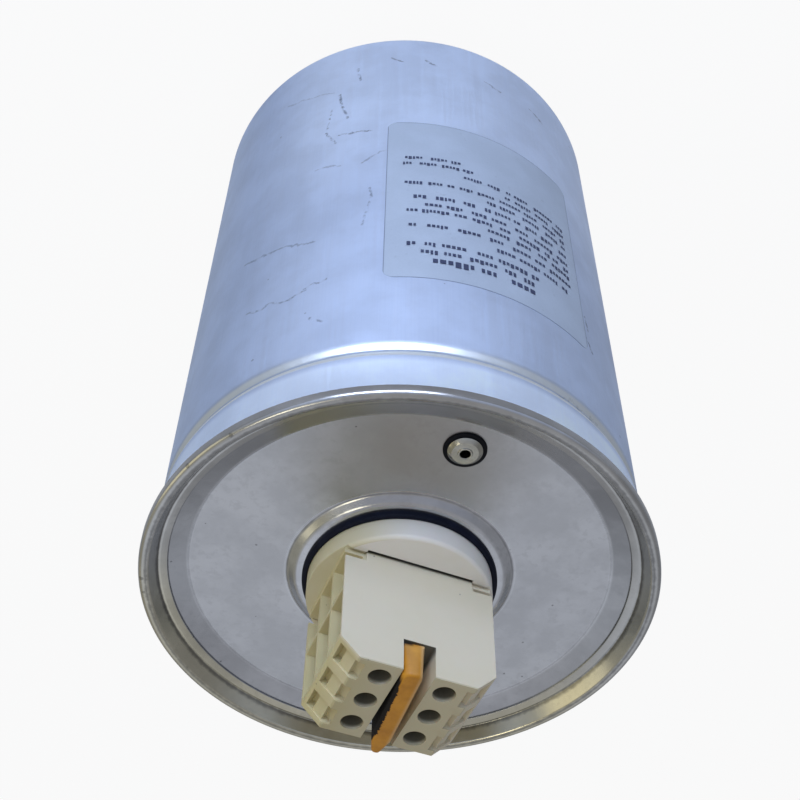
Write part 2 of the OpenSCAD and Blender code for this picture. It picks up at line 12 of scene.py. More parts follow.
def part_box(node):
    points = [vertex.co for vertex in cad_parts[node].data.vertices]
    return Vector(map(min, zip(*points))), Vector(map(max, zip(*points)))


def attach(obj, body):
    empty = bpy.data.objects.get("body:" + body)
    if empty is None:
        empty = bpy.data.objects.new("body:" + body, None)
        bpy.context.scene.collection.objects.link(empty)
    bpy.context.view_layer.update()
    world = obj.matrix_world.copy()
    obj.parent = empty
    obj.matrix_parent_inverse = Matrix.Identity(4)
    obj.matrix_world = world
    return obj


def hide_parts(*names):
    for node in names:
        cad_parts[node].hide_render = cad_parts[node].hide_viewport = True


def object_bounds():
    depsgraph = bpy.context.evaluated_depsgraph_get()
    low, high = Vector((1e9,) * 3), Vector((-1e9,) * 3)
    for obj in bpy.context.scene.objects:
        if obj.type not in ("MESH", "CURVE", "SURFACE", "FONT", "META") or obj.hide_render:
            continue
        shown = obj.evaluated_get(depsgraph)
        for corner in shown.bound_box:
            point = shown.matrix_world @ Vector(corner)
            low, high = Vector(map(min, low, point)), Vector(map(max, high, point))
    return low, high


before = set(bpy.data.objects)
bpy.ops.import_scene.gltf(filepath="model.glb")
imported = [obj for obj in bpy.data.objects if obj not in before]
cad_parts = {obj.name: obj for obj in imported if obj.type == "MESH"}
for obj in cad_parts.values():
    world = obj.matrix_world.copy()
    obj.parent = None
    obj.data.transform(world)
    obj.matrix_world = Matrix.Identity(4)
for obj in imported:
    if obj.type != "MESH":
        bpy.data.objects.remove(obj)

bl_info = {
    "name": "Power Capacitor",
    "version": (1, 0, 0),
    "blender": (4, 5, 0),
    "location": "View3D > Sidebar > Capacitor",
    "description": "Builds the looks of a power factor correction capacitor around its solids",
    "category": "Object",
}

MM = 0.001
UP = Vector((0, 0, 1))
BODY = "root"
CAD_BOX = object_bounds()
ROUND_STEPS = 192
PLUG_STEPS = 64
ARC_STEPS = 6
SMOOTH_ANGLE = math.radians(34)
FLAT_ANGLE = math.radians(0.5)
HARD_ANGLE = math.radians(40)
WELD = 0.002 * MM

CAN_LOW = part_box("can")[0]
LID_LOW, LID_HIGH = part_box("lid")
BASE_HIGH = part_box("terminal_base")[1]
SEAL_LOW, SEAL_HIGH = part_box("terminal_seal")
PLUG_LOW, PLUG_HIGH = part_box("filling_plug")
RING_LOW, RING_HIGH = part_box("plug_seal")
LABEL_LOW, LABEL_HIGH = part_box("rating_label")
CORE_LOW, CORE_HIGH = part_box("discharge_resistor")
HOUSING_LOW, HOUSING_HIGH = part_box("terminal_housing")

# Scratches on the can: start and end, each as degrees round the axis and height in mm, then depth
SCRATCHES = (
    (-24, 119, -46, 127, 0.6), (-28, 148, -40, 153, 0.6), (-40, 153, -50, 149, 0.7),
    (-49, 38, -50, 46, 1.0), (-50, 46, -52, 56, 0.9), (-47, 46, -46, 63, 0.7),
    (-46, 63, -49, 71, 0.9), (-50, 66, -59, 68, 0.9), (-57, 88, -62, 82, 0.5),
    (-62, 82, -67, 81, 0.4), (-59, 100, -60, 109, 0.7), (-60, 109, -58, 124, 0.6),
    (-44, 85, -51, 86, 0.5), (-31, 27, -47, 34, 0.4), (-54, 22, -55, 30, 0.9),
    (-47, 166, -50, 169, 0.7), (-117, 139, -121, 150, 0.9), (-120, 134, -121, 143, 0.8),
    (-102, 185, -119, 183, 0.6), (-64, 17, -67, 19, 0.8), (-74, 18, -77, 21, 0.8),
    (-92, 23, -97, 25, 0.7), (-108, 23, -113, 26, 0.7),
)

# Rows of bars on the label: place as a share of its height, bar height, left and right end in mm
BAR_ROWS = (
    (0.405, 2.8, -12, 22), (0.355, 2.0, -12, 24), (0.31, 2.0, -14, 27), (0.25, 1.8, -26, 2),
    (0.2, 1.8, -28, 28), (0.15, 1.8, -28, 4), (0.11, 1.8, -28, 28), (0.07, 1.8, -28, 22),
    (0.02, 1.8, -28, 28), (-0.03, 1.6, -28, 2), (-0.07, 1.6, -28, 28), (-0.11, 1.6, -28, -4),
    (-0.15, 1.6, -28, 10), (-0.2, 1.6, 6, 28), (-0.24, 1.6, 10, 28),
)

# Finishes of the inner pieces, as colour and roughness
INNER_METALS = {
    "plated_steel": ((0.55, 0.54, 0.5), 0.3),
    "screw_steel": ((0.1, 0.1, 0.09), 0.45),
    "contact_metal": ((0.62, 0.56, 0.46), 0.3),
    "tinned_metal": ((0.66, 0.66, 0.66), 0.3),
}
INNER_INSULATION = {
    "white_insulator": ((0.8, 0.8, 0.78), 0.5),
    "wound_film": ((0.5, 0.54, 0.6), 0.3),
    "lead_sleeve": ((0.42, 0.05, 0.04), 0.45),
}

# Nodes that keep their solids, by finish
INNER_FINISHES = {
    "screw_steel": ("clamp_screws",),
    "plated_steel": ("wire_clamps",),
    "contact_metal": ("contact_bar_front", "contact_bar_middle", "contact_bar_rear"),
    "tinned_metal": ("resistor_pins",),
    "white_insulator": ("bottom_cup", "top_cup", "core_tube"),
    "wound_film": ("winding_inner", "winding_middle", "winding_outer"),
    "lead_sleeve": ("lead_front", "lead_middle", "lead_rear"),
}


def length(name, value, description):
    """Property that holds a length, given in millimetres."""
    return FloatProperty(
        name=name, description=description, default=value * MM, unit="LENGTH", precision=5
    )


def angle(name, degrees, description):
    """Property that holds an angle, given in degrees."""
    return FloatProperty(
        name=name, description=description, default=math.radians(degrees), subtype="ANGLE"
    )


def number(name, value, description, unit="NONE"):
    """Property that holds a plain number or a power."""
    return FloatProperty(name=name, description=description, default=value, unit=unit)


def tint(name, red, green, blue, description):
    """Property that holds a colour, given as eight-bit display values."""
    return FloatVectorProperty(
        name=name,
        description=description,
        default=[linear(value) for value in (red, green, blue)],
        subtype="COLOR",
        min=0,
        max=1,
    )


def linear(value):
    """Scene-linear share of an eight-bit display value."""
    share = value / 255
    return share / 12.92 if share <= 0.04045 else ((share + 0.055) / 1.055) ** 2.4


def scaled(colour, share):
    """Colour made darker or lighter."""
    return [channel * share for channel in colour]


class CanSettings(bpy.types.PropertyGroup):
    """Drawn can with its expansion groove and threaded stud."""

    wall: length("Wall", 0.87, "Thickness of the can's wall")
    floor: length("Floor", 2.5, "Thickness of the can's floor")
    edge: length("Edge rounding", 2.5, "Rounding between the wall and the floor")
    groove_drop: length("Groove drop", 22, "From the seam's top to the middle of the groove")
    groove_width: length("Groove width", 4.8, "Width of the expansion groove")
    groove_depth: length("Groove depth", 1.2, "Depth of the expansion groove")
    groove_round: length("Groove rounding", 1.5, "Rounding at the bottom of the groove")
    shoulder_round: length("Shoulder rounding", 4, "Rounding at both shoulders of the groove")
    flange: length("Flange", 3.6, "Length of the can's flange inside the seam")
    stud_radius: length("Stud radius", 6, "Outer radius of the stud's thread")
    thread_pitch: length("Thread pitch", 1.75, "Distance between two turns of the thread")
    thread_depth: length("Thread depth", 1.05, "Depth of the thread")
    tip_chamfer: length("Tip chamfer", 1.2, "Chamfer at the stud's tip")
    colour: tint("Colour", 205, 218, 239, "Colour of the drawn aluminium")


class LidSettings(bpy.types.PropertyGroup):
    """Stepped lid, its raised collar and the rolled seam."""

    overhang: length("Overhang", 3, "How far the seam stands out from the can's wall")
    seam_height: length("Seam height", 3.7, "Height of the seam's outer face")
    seam_inner_round: length("Inner seam rounding", 1, "Rounding at the seam's inner top edge")
    seam_round: length("Seam rounding", 1.3, "Rounding at the seam's outer top edge")
    seam_lower_round: length("Lower seam rounding", 0.8, "Rounding at the seam's lower edge")
    sheet: length("Sheet", 1, "Thickness of the lid's sheet")
    chuck_top: length("Steep wall top", -0.28, "Inset of its top from the can's wall")
    chuck_inset: length("Steep wall foot", 1.75, "Inset of its foot from the can's wall")
    chuck_drop: length("Steep wall depth", 3.8, "Depth of the steep wall's foot")
    ledge_inset: length("Ledge inset", 4.5, "Inset of the ledge's inner edge")
    ledge_drop: length("Ledge depth", 4.9, "Depth of the ledge's inner edge")
    ledge_round: length("Ledge rounding", 0.8, "Rounding under the ledge")
    step: length("Ledge step", 0.5, "Height of the step at the ledge's inner edge")
    step_run: length("Step run", 0.15, "Run of the step at the ledge's inner edge")
    step_round: length("Step rounding", 0.12, "Rounding at the top of the step")
    lip_round: length("Lip rounding", 0.25, "Rounding of the lip beside the channel")
    channel_depth: length("Channel depth", 0.4, "Depth of the channel at the steep wall's foot")
    channel_width: length("Channel width", 0.8, "Width of the channel, up to the ledge's lip")
    channel_round: length("Channel rounding", 0.3, "Rounding at the bottom of the channel")
    disc_inset: length("Disc inset", 9.8, "Inset of the flat disc's edge")
    disc_round: length("Disc rounding", 1.5, "Rounding at the flat disc's edge")
    collar_width: length("Collar width", 4.3, "Width of the raised collar")
    collar_rise: length("Collar rise", 2.2, "Rise of the collar above the disc")
    collar_round: length("Collar rounding", 2, "Rounding at the collar's foot")
    crown: length("Crown", 2.0, "Distance of the collar's crown from its inner edge")
    crown_drop: length("Crown drop", 0.25, "Drop of the collar's crown below its inner edge")
    crown_round: length("Crown rounding", 2.2, "Rounding of the collar's crown")
    colour: tint("Colour", 208, 212, 220, "Colour of the lid's aluminium")


class PlugSettings(bpy.types.PropertyGroup):
    """Blind rivet that closes the filling hole, on its rubber ring."""

    shank: length("Shank radius", 2.6, "Radius of the shank")
    shank_round: length("Shank rounding", 0.6, "Rounding at the shank's closed end")
    hole: length("Hole radius", 1.4, "Radius of the hole in the head")
    boss: length("Boss radius", 1.9, "Radius of the boss round the hole")
    boss_height: length("Boss height", 0.3, "Height of the boss")
    boss_round: length("Boss rounding", 0.15, "Rounding of the boss")
    table: length("Table radius", 3.5, "Radius of the flat table inside the head's cone")
    table_round: length("Table rounding", 0.25, "Rounding at the table's edge")
    rim: length("Rim", 0.3, "Thickness of the head's rim")
    rim_round: length("Rim rounding", 0.12, "Rounding at the rim's upper edge")
    rim_lower_round: length("Lower rim rounding", 0.1, "Rounding at the rim's lower edge")
    end: length("End", 1.5, "Thickness of the shank's closed end")
    ring_round: length("Ring rounding", 0.25, "Rounding at the rubber ring's upper edge")
    colour: tint("Colour", 184, 183, 175, "Colour of the rivet")
    ring_colour: tint("Ring colour", 6, 8, 16, "Colour of the rubber ring")


class TerminalSettings(bpy.types.PropertyGroup):
    """Moulded terminals, their seal and the discharge resistor."""

    base_radius: length("Base radius", 25.4, "Radius of the moulded base")
    seal_width: length("Seal width", 1.5, "Width of the rubber ring round the base")
    soft_edge: length("Soft edges", 0.28, "Rounding of the moulded edges")
    turn: angle("Resistor turn", 4.2, "Turn of the resistor in its slot")
    resistor_thickness: length("Resistor thickness", 5.2, "Thickness of the ceramic body")
    resistor_length: length("Resistor length", 33, "Length of the ceramic body")
    resistor_shift: length("Resistor shift", 1.2, "Shift of the body towards the rear")
    resistor_aside: length("Resistor aside", 0.4, "Shift of the body towards +X in its slot")
    front_round: length("Front rounding", 2.3, "Rounding of the upright edges at the front")
    rear_round: length("Rear rounding", 0.8, "Rounding of the upright edges at the rear tip")
    taper: length("Taper", 5.5, "Length over which the rear end narrows to its tip")
    tip: length("Tip", 2.0, "Width of the rear tip")
    top_round: length("Top rounding", 0.9, "Rounding of the long top edges")
    heel_round: length("Heel rounding", 2.4, "Rounding of the lower edge at the front")
    slot_half: length("Slot half width", 4.28, "Half width of the resistor's slot")
    recess_half: length("Recess half length", 15.05, "Half length of the housing's foot recess")
    well_place: length("Well place", 8.6, "Distance of the screw wells from the middle")
    well_pitch: length("Well pitch", 9.6, "Distance between two screw wells")
    well_radius: length("Well radius", 2.95, "Radius of the screw wells")
    plastic: tint("Plastic", 213, 203, 177, "Colour of the housing's plastic")
    base_plastic: tint("Base plastic", 227, 222, 211, "Colour of the base's plastic")
    # The plastic's own cloudy yellow tone, also used as painted warm light on the +X side and
    # painted shade on the tops
    shade: tint("Plastic shade", 190, 178, 118, "Colour of the plastic where it has yellowed")
    ceramic: tint("Ceramic", 206, 143, 38, "Colour of the ceramic body")
    rubber: tint("Rubber", 10, 15, 30, "Colour of the rubber seal")


class LabelSettings(bpy.types.PropertyGroup):
    """Foil label on the can's wall, with rows of plain bars."""

    width: length("Width", 66, "Width along the can's wall")
    thickness: length("Thickness", 0.15, "Thickness of the foil")
    glue: length("Glue", 0.05, "Film of glue under the foil")
    corner: length("Corner rounding", 3.5, "Rounding of the corners")
    ink_film: length("Ink film", 0.012, "How far the bars stand off the foil")
    angle: angle("Direction", -91.3, "Direction of the label's middle, from +X")
    seed: IntProperty(name="Seed", description="Order of the bars", default=7)
    colour: tint("Colour", 184, 196, 210, "Colour of the foil")
    ink: tint("Ink", 54, 62, 92, "Colour of the bars")


class StageSettings(bpy.types.PropertyGroup):
    """Camera, lamps, world and floor."""

    azimuth: angle("Azimuth", 21.3, "Direction of the camera")
    elevation: angle("Elevation", 50.73, "Height of the camera")
    roll: angle("Roll", 181.02, "Roll of the camera")
    distance: length("Distance", 368.7, "Distance of the camera from the top of the seam")
    focal: number("Focal length", 1352.8, "In pixels")
    offset_x: number("Offset X", -0.8, "Of the target, in pixels")
    offset_y: number("Offset Y", -195.2, "Of the target, in pixels")
    key_power: number("Key", 5.8, "Power of the front lamp", "POWER")
    fill_power: number("Fill", 1.4, "Power of the side lamp", "POWER")
    glint_power: number("Glint", 1, "Power of the high lamp", "POWER")


class CapacitorSettings(bpy.types.PropertyGroup):
    """All that a user would change."""

    can: PointerProperty(type=CanSettings)
    lid: PointerProperty(type=LidSettings)
    plug: PointerProperty(type=PlugSettings)
    terminal: PointerProperty(type=TerminalSettings)
    label: PointerProperty(type=LabelSettings)
    stage: PointerProperty(type=StageSettings)


# Mesh helpers

def everything(bm):
    """All corners, edges and faces of a mesh."""
    return bm.verts[:] + bm.edges[:] + bm.faces[:]


def bevel(bm, geom, offset, segments=ARC_STEPS, affect="EDGES"):
    """Rounds edges or corners."""
    bmesh.ops.bevel(
        bm, geom=geom, offset=offset, offset_type="OFFSET", segments=segments, profile=0.5,
        affect=affect, material=-1,
    )


def cut(bm, point, normal, clear=False):
    """Cuts a mesh at a plane, and clears what is past it if asked to."""
    return bmesh.ops.bisect_plane(
        bm, geom=everything(bm), plane_co=point, plane_no=normal, clear_outer=clear
    )


def outline(corners, closed):
    """Line in the XZ plane through corners of radius, height and rounding."""
    bm = bmesh.new()
    verts = [bm.verts.new((corner[0], 0, corner[1])) for corner in corners]
    ends = verts[1:] + verts[:1] if closed else verts[1:]
    for start, end in zip(verts, ends):
        bm.edges.new((start, end))
    for vert, corner in zip(verts, corners):
        if len(corner) > 2 and corner[2]:
            one, two = [edge.other_vert(vert).co - vert.co for edge in vert.link_edges]
            bevel(bm, [vert], corner[2] / math.tan(one.angle(two) / 2), affect="VERTICES")
    return bm


def turned(corners, closed=True, steps=ROUND_STEPS):
    """Outline spun once round the upright axis."""
    bm = outline(corners, closed)
    bmesh.ops.spin(
        bm, geom=everything(bm), axis=UP, cent=(0, 0, 0), angle=math.tau, steps=steps,
        use_merge=True,
    )
    bmesh.ops.remove_doubles(bm, verts=bm.verts, dist=WELD)
    bmesh.ops.recalc_face_normals(bm, faces=bm.faces)
    return bm


def shifted(points, distance):
    """Open line moved sideways, as the other face of a folded sheet."""
    lines = [Vector(b) - Vector(a) for a, b in zip(points, points[1:])]
    rights = [Vector((line.y, -line.x)).normalized() for line in lines]
    moved = []
    for i, point in enumerate(points):
        before = rights[max(i - 1, 0)]
        after = rights[min(i, len(rights) - 1)]
        moved.append(Vector(point) + distance * (before + after) / (1 + before.dot(after)))
    return moved


def rounded(points, rounds):
    """Corners of an outline, each with its rounding."""
    return [(*point, rounding) for point, rounding in zip(points, rounds)]


def place(bm, x, y, z=0):
    """Moves a whole mesh."""
    bmesh.ops.translate(bm, verts=bm.verts, vec=(x, y, z))


def new_object(name, bm):
    """Object in the scene that takes over a mesh."""
    mesh = bpy.data.meshes.new(name)
    bm.to_mesh(mesh)
    bm.free()
    obj = bpy.data.objects.new(name, mesh)
    bpy.context.scene.collection.objects.link(obj)
    return obj


def piece(name, bm, material, slot, *nodes):
    """Finished object with its material, body and the nodes it stands for; its slot is not used."""
    obj = new_object(name, bm)
    smooth(obj.data)
    obj.data.materials.append(material)
    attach(obj, BODY)
    if nodes:
        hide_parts(*nodes)
    return obj


def welded_copy(node):
    """Mesh of a node with its corners joined and its flat faces whole."""
    bm = bmesh.new()
    bm.from_mesh(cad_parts[node].data)
    bmesh.ops.remove_doubles(bm, verts=bm.verts, dist=WELD)
    bmesh.ops.dissolve_limit(
        bm, angle_limit=FLAT_ANGLE, verts=bm.verts, edges=bm.edges, delimit=set()
    )
    return bm


def cut_out(obj, bm):
    """Cuts a mesh out of an object and keeps the result."""
    tool = new_object("tool", bm)
    mesh = tool.data
    modifier = obj.modifiers.new("Tool", "BOOLEAN")
    modifier.operation = "DIFFERENCE"
    modifier.solver = "EXACT"
    modifier.object = tool
    graph = bpy.context.evaluated_depsgraph_get()
    obj.data = bpy.data.meshes.new_from_object(obj.evaluated_get(graph))
    obj.modifiers.clear()
    bpy.data.objects.remove(tool)
    bpy.data.meshes.remove(mesh)
    smooth(obj.data)


def smooth(mesh):
    """Smooth faces with sharp edges where they meet at a steep angle."""
    mesh.shade_smooth()
    mesh.set_sharp_from_angle(angle=SMOOTH_ANGLE)


def soften(obj, width):
    """Rounds the hard edges of a moulded piece, without the normals of its copied mesh."""
    stored = obj.data.attributes.get("custom_normal")
    if stored:
        obj.data.attributes.remove(stored)
    modifier = obj.modifiers.new("Soft edges", "BEVEL")
    modifier.width = width
    modifier.segments = 3
    modifier.limit_method = "ANGLE"
    modifier.angle_limit = HARD_ANGLE
    modifier.use_clamp_overlap = True
    modifier.harden_normals = False


# Material helpers

class Shader:
    """Short words for building a node tree."""

    def __init__(self, tree):
        self.tree = tree

    def node(self, kind, **settings):
        """New node with its settings."""
        made = self.tree.nodes.new(kind)
        for name, value in settings.items():
            setattr(made, name, value)
        return made

    def put(self, socket, value):
        """Sets a socket, or links it where the value is a socket."""
        if isinstance(value, bpy.types.NodeSocket):
            self.tree.links.new(value, socket)
        else:
            socket.default_value = value

    def math(self, operation, *values, clamp=False):
        """Result of one Math node."""
        made = self.node("ShaderNodeMath", operation=operation, use_clamp=clamp)
        for socket, value in zip(made.inputs, values):
            self.put(socket, value)
        return made.outputs[0]

    def plus(self, one, two):
        """Sum of two values."""
        return self.math("ADD", one, two)

    def minus(self, one, two):
        """Difference of two values."""
        return self.math("SUBTRACT", one, two)

    def times(self, product, *factors):
        """Product of two or more values."""
        for factor in factors:
            product = self.math("MULTIPLY", product, factor)
        return product

    def most(self, one, two):
        """Larger of two values."""
        return self.math("MAXIMUM", one, two)

    def size(self, value):
        """Value without its sign."""
        return self.math("ABSOLUTE", value)

    def below(self, value, limit):
        """One where a value is below a limit."""
        return self.math("LESS_THAN", value, limit)

    def over(self, value, limit):
        """One where a value is over a limit."""
        return self.math("GREATER_THAN", value, limit)

    def reach(self, x, y):
        """Length of the line with these two sides."""
        return self.math("SQRT", self.plus(self.times(x, x), self.times(y, y)))

    def place(self, move=(0, 0, 0), turn=(0, 0, 0)):
        """Object coordinates in millimetres, turned and moved."""
        mapping = self.node("ShaderNodeMapping")
        self.put(mapping.inputs["Vector"], self.node("ShaderNodeTexCoord").outputs["Object"])
        mapping.inputs["Location"].default_value = move
        mapping.inputs["Rotation"].default_value = turn
        mapping.inputs["Scale"].default_value = [1 / MM] * 3
        return mapping.outputs[0]

    def split(self, vector):
        """Three parts of a vector."""
        made = self.node("ShaderNodeSeparateXYZ")
        self.put(made.inputs[0], vector)
        return made.outputs

    def join(self, x, y, z):
        """Vector from its three parts."""
        made = self.node("ShaderNodeCombineXYZ")
        for socket, value in zip(made.inputs, (x, y, z)):
            self.put(socket, value)
        return made.outputs[0]

    def noise(self, scale, detail=4.0, roughness=0.55, vector=None):
        """Noise over the object, or over a given vector."""
        made = self.node("ShaderNodeTexNoise")
        self.put(made.inputs["Vector"], vector or self.place())
        self.put(made.inputs["Scale"], scale)
        made.inputs["Detail"].default_value = detail
        made.inputs["Roughness"].default_value = roughness
        return made.outputs["Fac"]

    def step(self, value, low, high, to_low=0.0, to_high=1.0):
        """Smooth step of a value from low to high."""
        made = self.node("ShaderNodeMapRange", interpolation_type="SMOOTHSTEP")
        for socket, entry in zip(made.inputs, (value, low, high, to_low, to_high)):
            self.put(socket, entry)
        return made.outputs[0]

    def band(self, value, rise, fall):
        """One inside a band with soft edges."""
        return self.times(self.step(value, *rise), self.step(value, *fall))

    def spread(self, value, to_low, to_high):
        """Noise brought to a range of values."""
        return self.step(value, 0.3, 0.7, to_low, to_high)

    def mix(self, share, one, two, blend="MIX"):
        """Two colours mixed, or the first multiplied by the second."""
        made = self.node("ShaderNodeMix", data_type="RGBA", blend_type=blend)
        self.put(made.inputs["Factor"], share)
        self.put(made.inputs["A"], rgba(one))
        self.put(made.inputs["B"], rgba(two))
        return made.outputs["Result"]

    def tinted(self, share, base, factor):
        """Colour multiplied by a factor where the share says so."""
        return self.mix(share, base, factor, "MULTIPLY")

    def bump(self, height, strength, distance):
        """Normal of a fine relief."""
        made = self.node("ShaderNodeBump")
        self.put(made.inputs["Height"], height)
        made.inputs["Strength"].default_value = strength
        made.inputs["Distance"].default_value = distance
        return made.outputs[0]

    def group(self, tree, **values):
        """Outputs of a node group with these inputs."""
        made = self.node("ShaderNodeGroup", node_tree=tree)
        for name, value in values.items():
            self.put(made.inputs[name.replace("_", " ").capitalize()], value)
        return made.outputs


def rgba(colour):
    """Colour with its alpha, or the socket as it is."""
    if isinstance(colour, bpy.types.NodeSocket):
        return colour
    return (*colour[:3], 1)


def new_group(name, inputs, outputs):
    """Empty node group with float inputs and outputs, and its end nodes."""
    tree = bpy.data.node_groups.new(name, "ShaderNodeTree")
    for socket, value in inputs.items():
        made = tree.interface.new_socket(socket, in_out="INPUT", socket_type="NodeSocketFloat")
        made.default_value = value
    for socket in outputs:
        tree.interface.new_socket(socket, in_out="OUTPUT", socket_type="NodeSocketFloat")
    shader = Shader(tree)
    return shader, shader.node("NodeGroupInput").outputs, shader.node("NodeGroupOutput").inputs


def mottle_group():
    """Cloudy patches, as on rolled or moulded sheet."""
    shader, given, out = new_group(
        "cloudy patches", {"Scale": 0.05, "Low": 0.4, "High": 0.6}, ["Mask"]
    )
    cloud = shader.noise(given["Scale"], 5, 0.6)
    shader.put(out["Mask"], shader.step(cloud, given["Low"], given["High"]))
    return shader.tree


def speck_group():
    """Small sparse spots."""
    shader, given, out = new_group(
        "sparse specks", {"Scale": 0.3, "Size": 0.1, "Share": 0.5}, ["Mask"]
    )
    cells = shader.node("ShaderNodeTexVoronoi")
    shader.put(cells.inputs["Vector"], shader.place())
    shader.put(cells.inputs["Scale"], given["Scale"])
    picked = shader.below(shader.split(cells.outputs["Color"])[0], given["Share"])
    edge = shader.times(given["Size"], shader.plus(shader.noise(2.0, 3), 0.5))
    shader.put(out["Mask"], shader.times(picked, shader.below(cells.outputs["Distance"], edge)))
    return shader.tree


def round_place_group():
    """Distance from the upright axis, direction round it, and height, in millimetres."""
    shader, _, out = new_group("place round the axis", {}, ["Radius", "Arc", "Height"])
    x, y, z = shader.split(shader.place())
    shader.put(out["Radius"], shader.reach(x, y))
    shader.put(out["Arc"], shader.math("ARCTAN2", y, x))
    shader.put(out["Height"], z)
    return shader.tree


def streak_group():
    """Fine lines left by drawing the wall, along the axis."""
    shader, given, out = new_group("drawing lines", {"Fineness": 1.0, "Stretch": 0.01}, ["Lines"])
    x, y, z = shader.split(shader.place())
    drawn = shader.join(x, y, shader.times(z, given["Stretch"]))
    shader.put(out["Lines"], shader.noise(given["Fineness"], 6, 0.65, drawn))
    return shader.tree


def scratch_group(around, radius):
    """Broken hairline between two places on the wall, given by direction and height."""
    inputs = {"Start arc": 0.0, "Start height": 0.0, "End arc": 0.1, "End height": 10.0}
    inputs.update({"Width": 0.3, "Wobble": 0.0})
    shader, given, out = new_group("wall scratch", inputs, ["Mask"])
    _, arc, height = shader.group(around)
    across = shader.times(shader.minus(arc, given["Start arc"]), radius)
    along = shader.minus(height, given["Start height"])
    run = shader.times(shader.minus(given["End arc"], given["Start arc"]), radius)
    rise = shader.minus(given["End height"], given["Start height"])
    whole = shader.plus(shader.times(run, run), shader.times(rise, rise))
    share = shader.plus(shader.times(across, run), shader.times(along, rise))
    share = shader.math("DIVIDE", share, whole, clamp=True)
    aside = shader.minus(across, shader.times(share, run))
    above = shader.plus(shader.minus(along, shader.times(share, rise)), given["Wobble"])
    width = given["Width"]
    middle = shader.times(width, 0.3)
    shader.put(out["Mask"], shader.step(shader.reach(aside, above), width, middle))
    return shader.tree


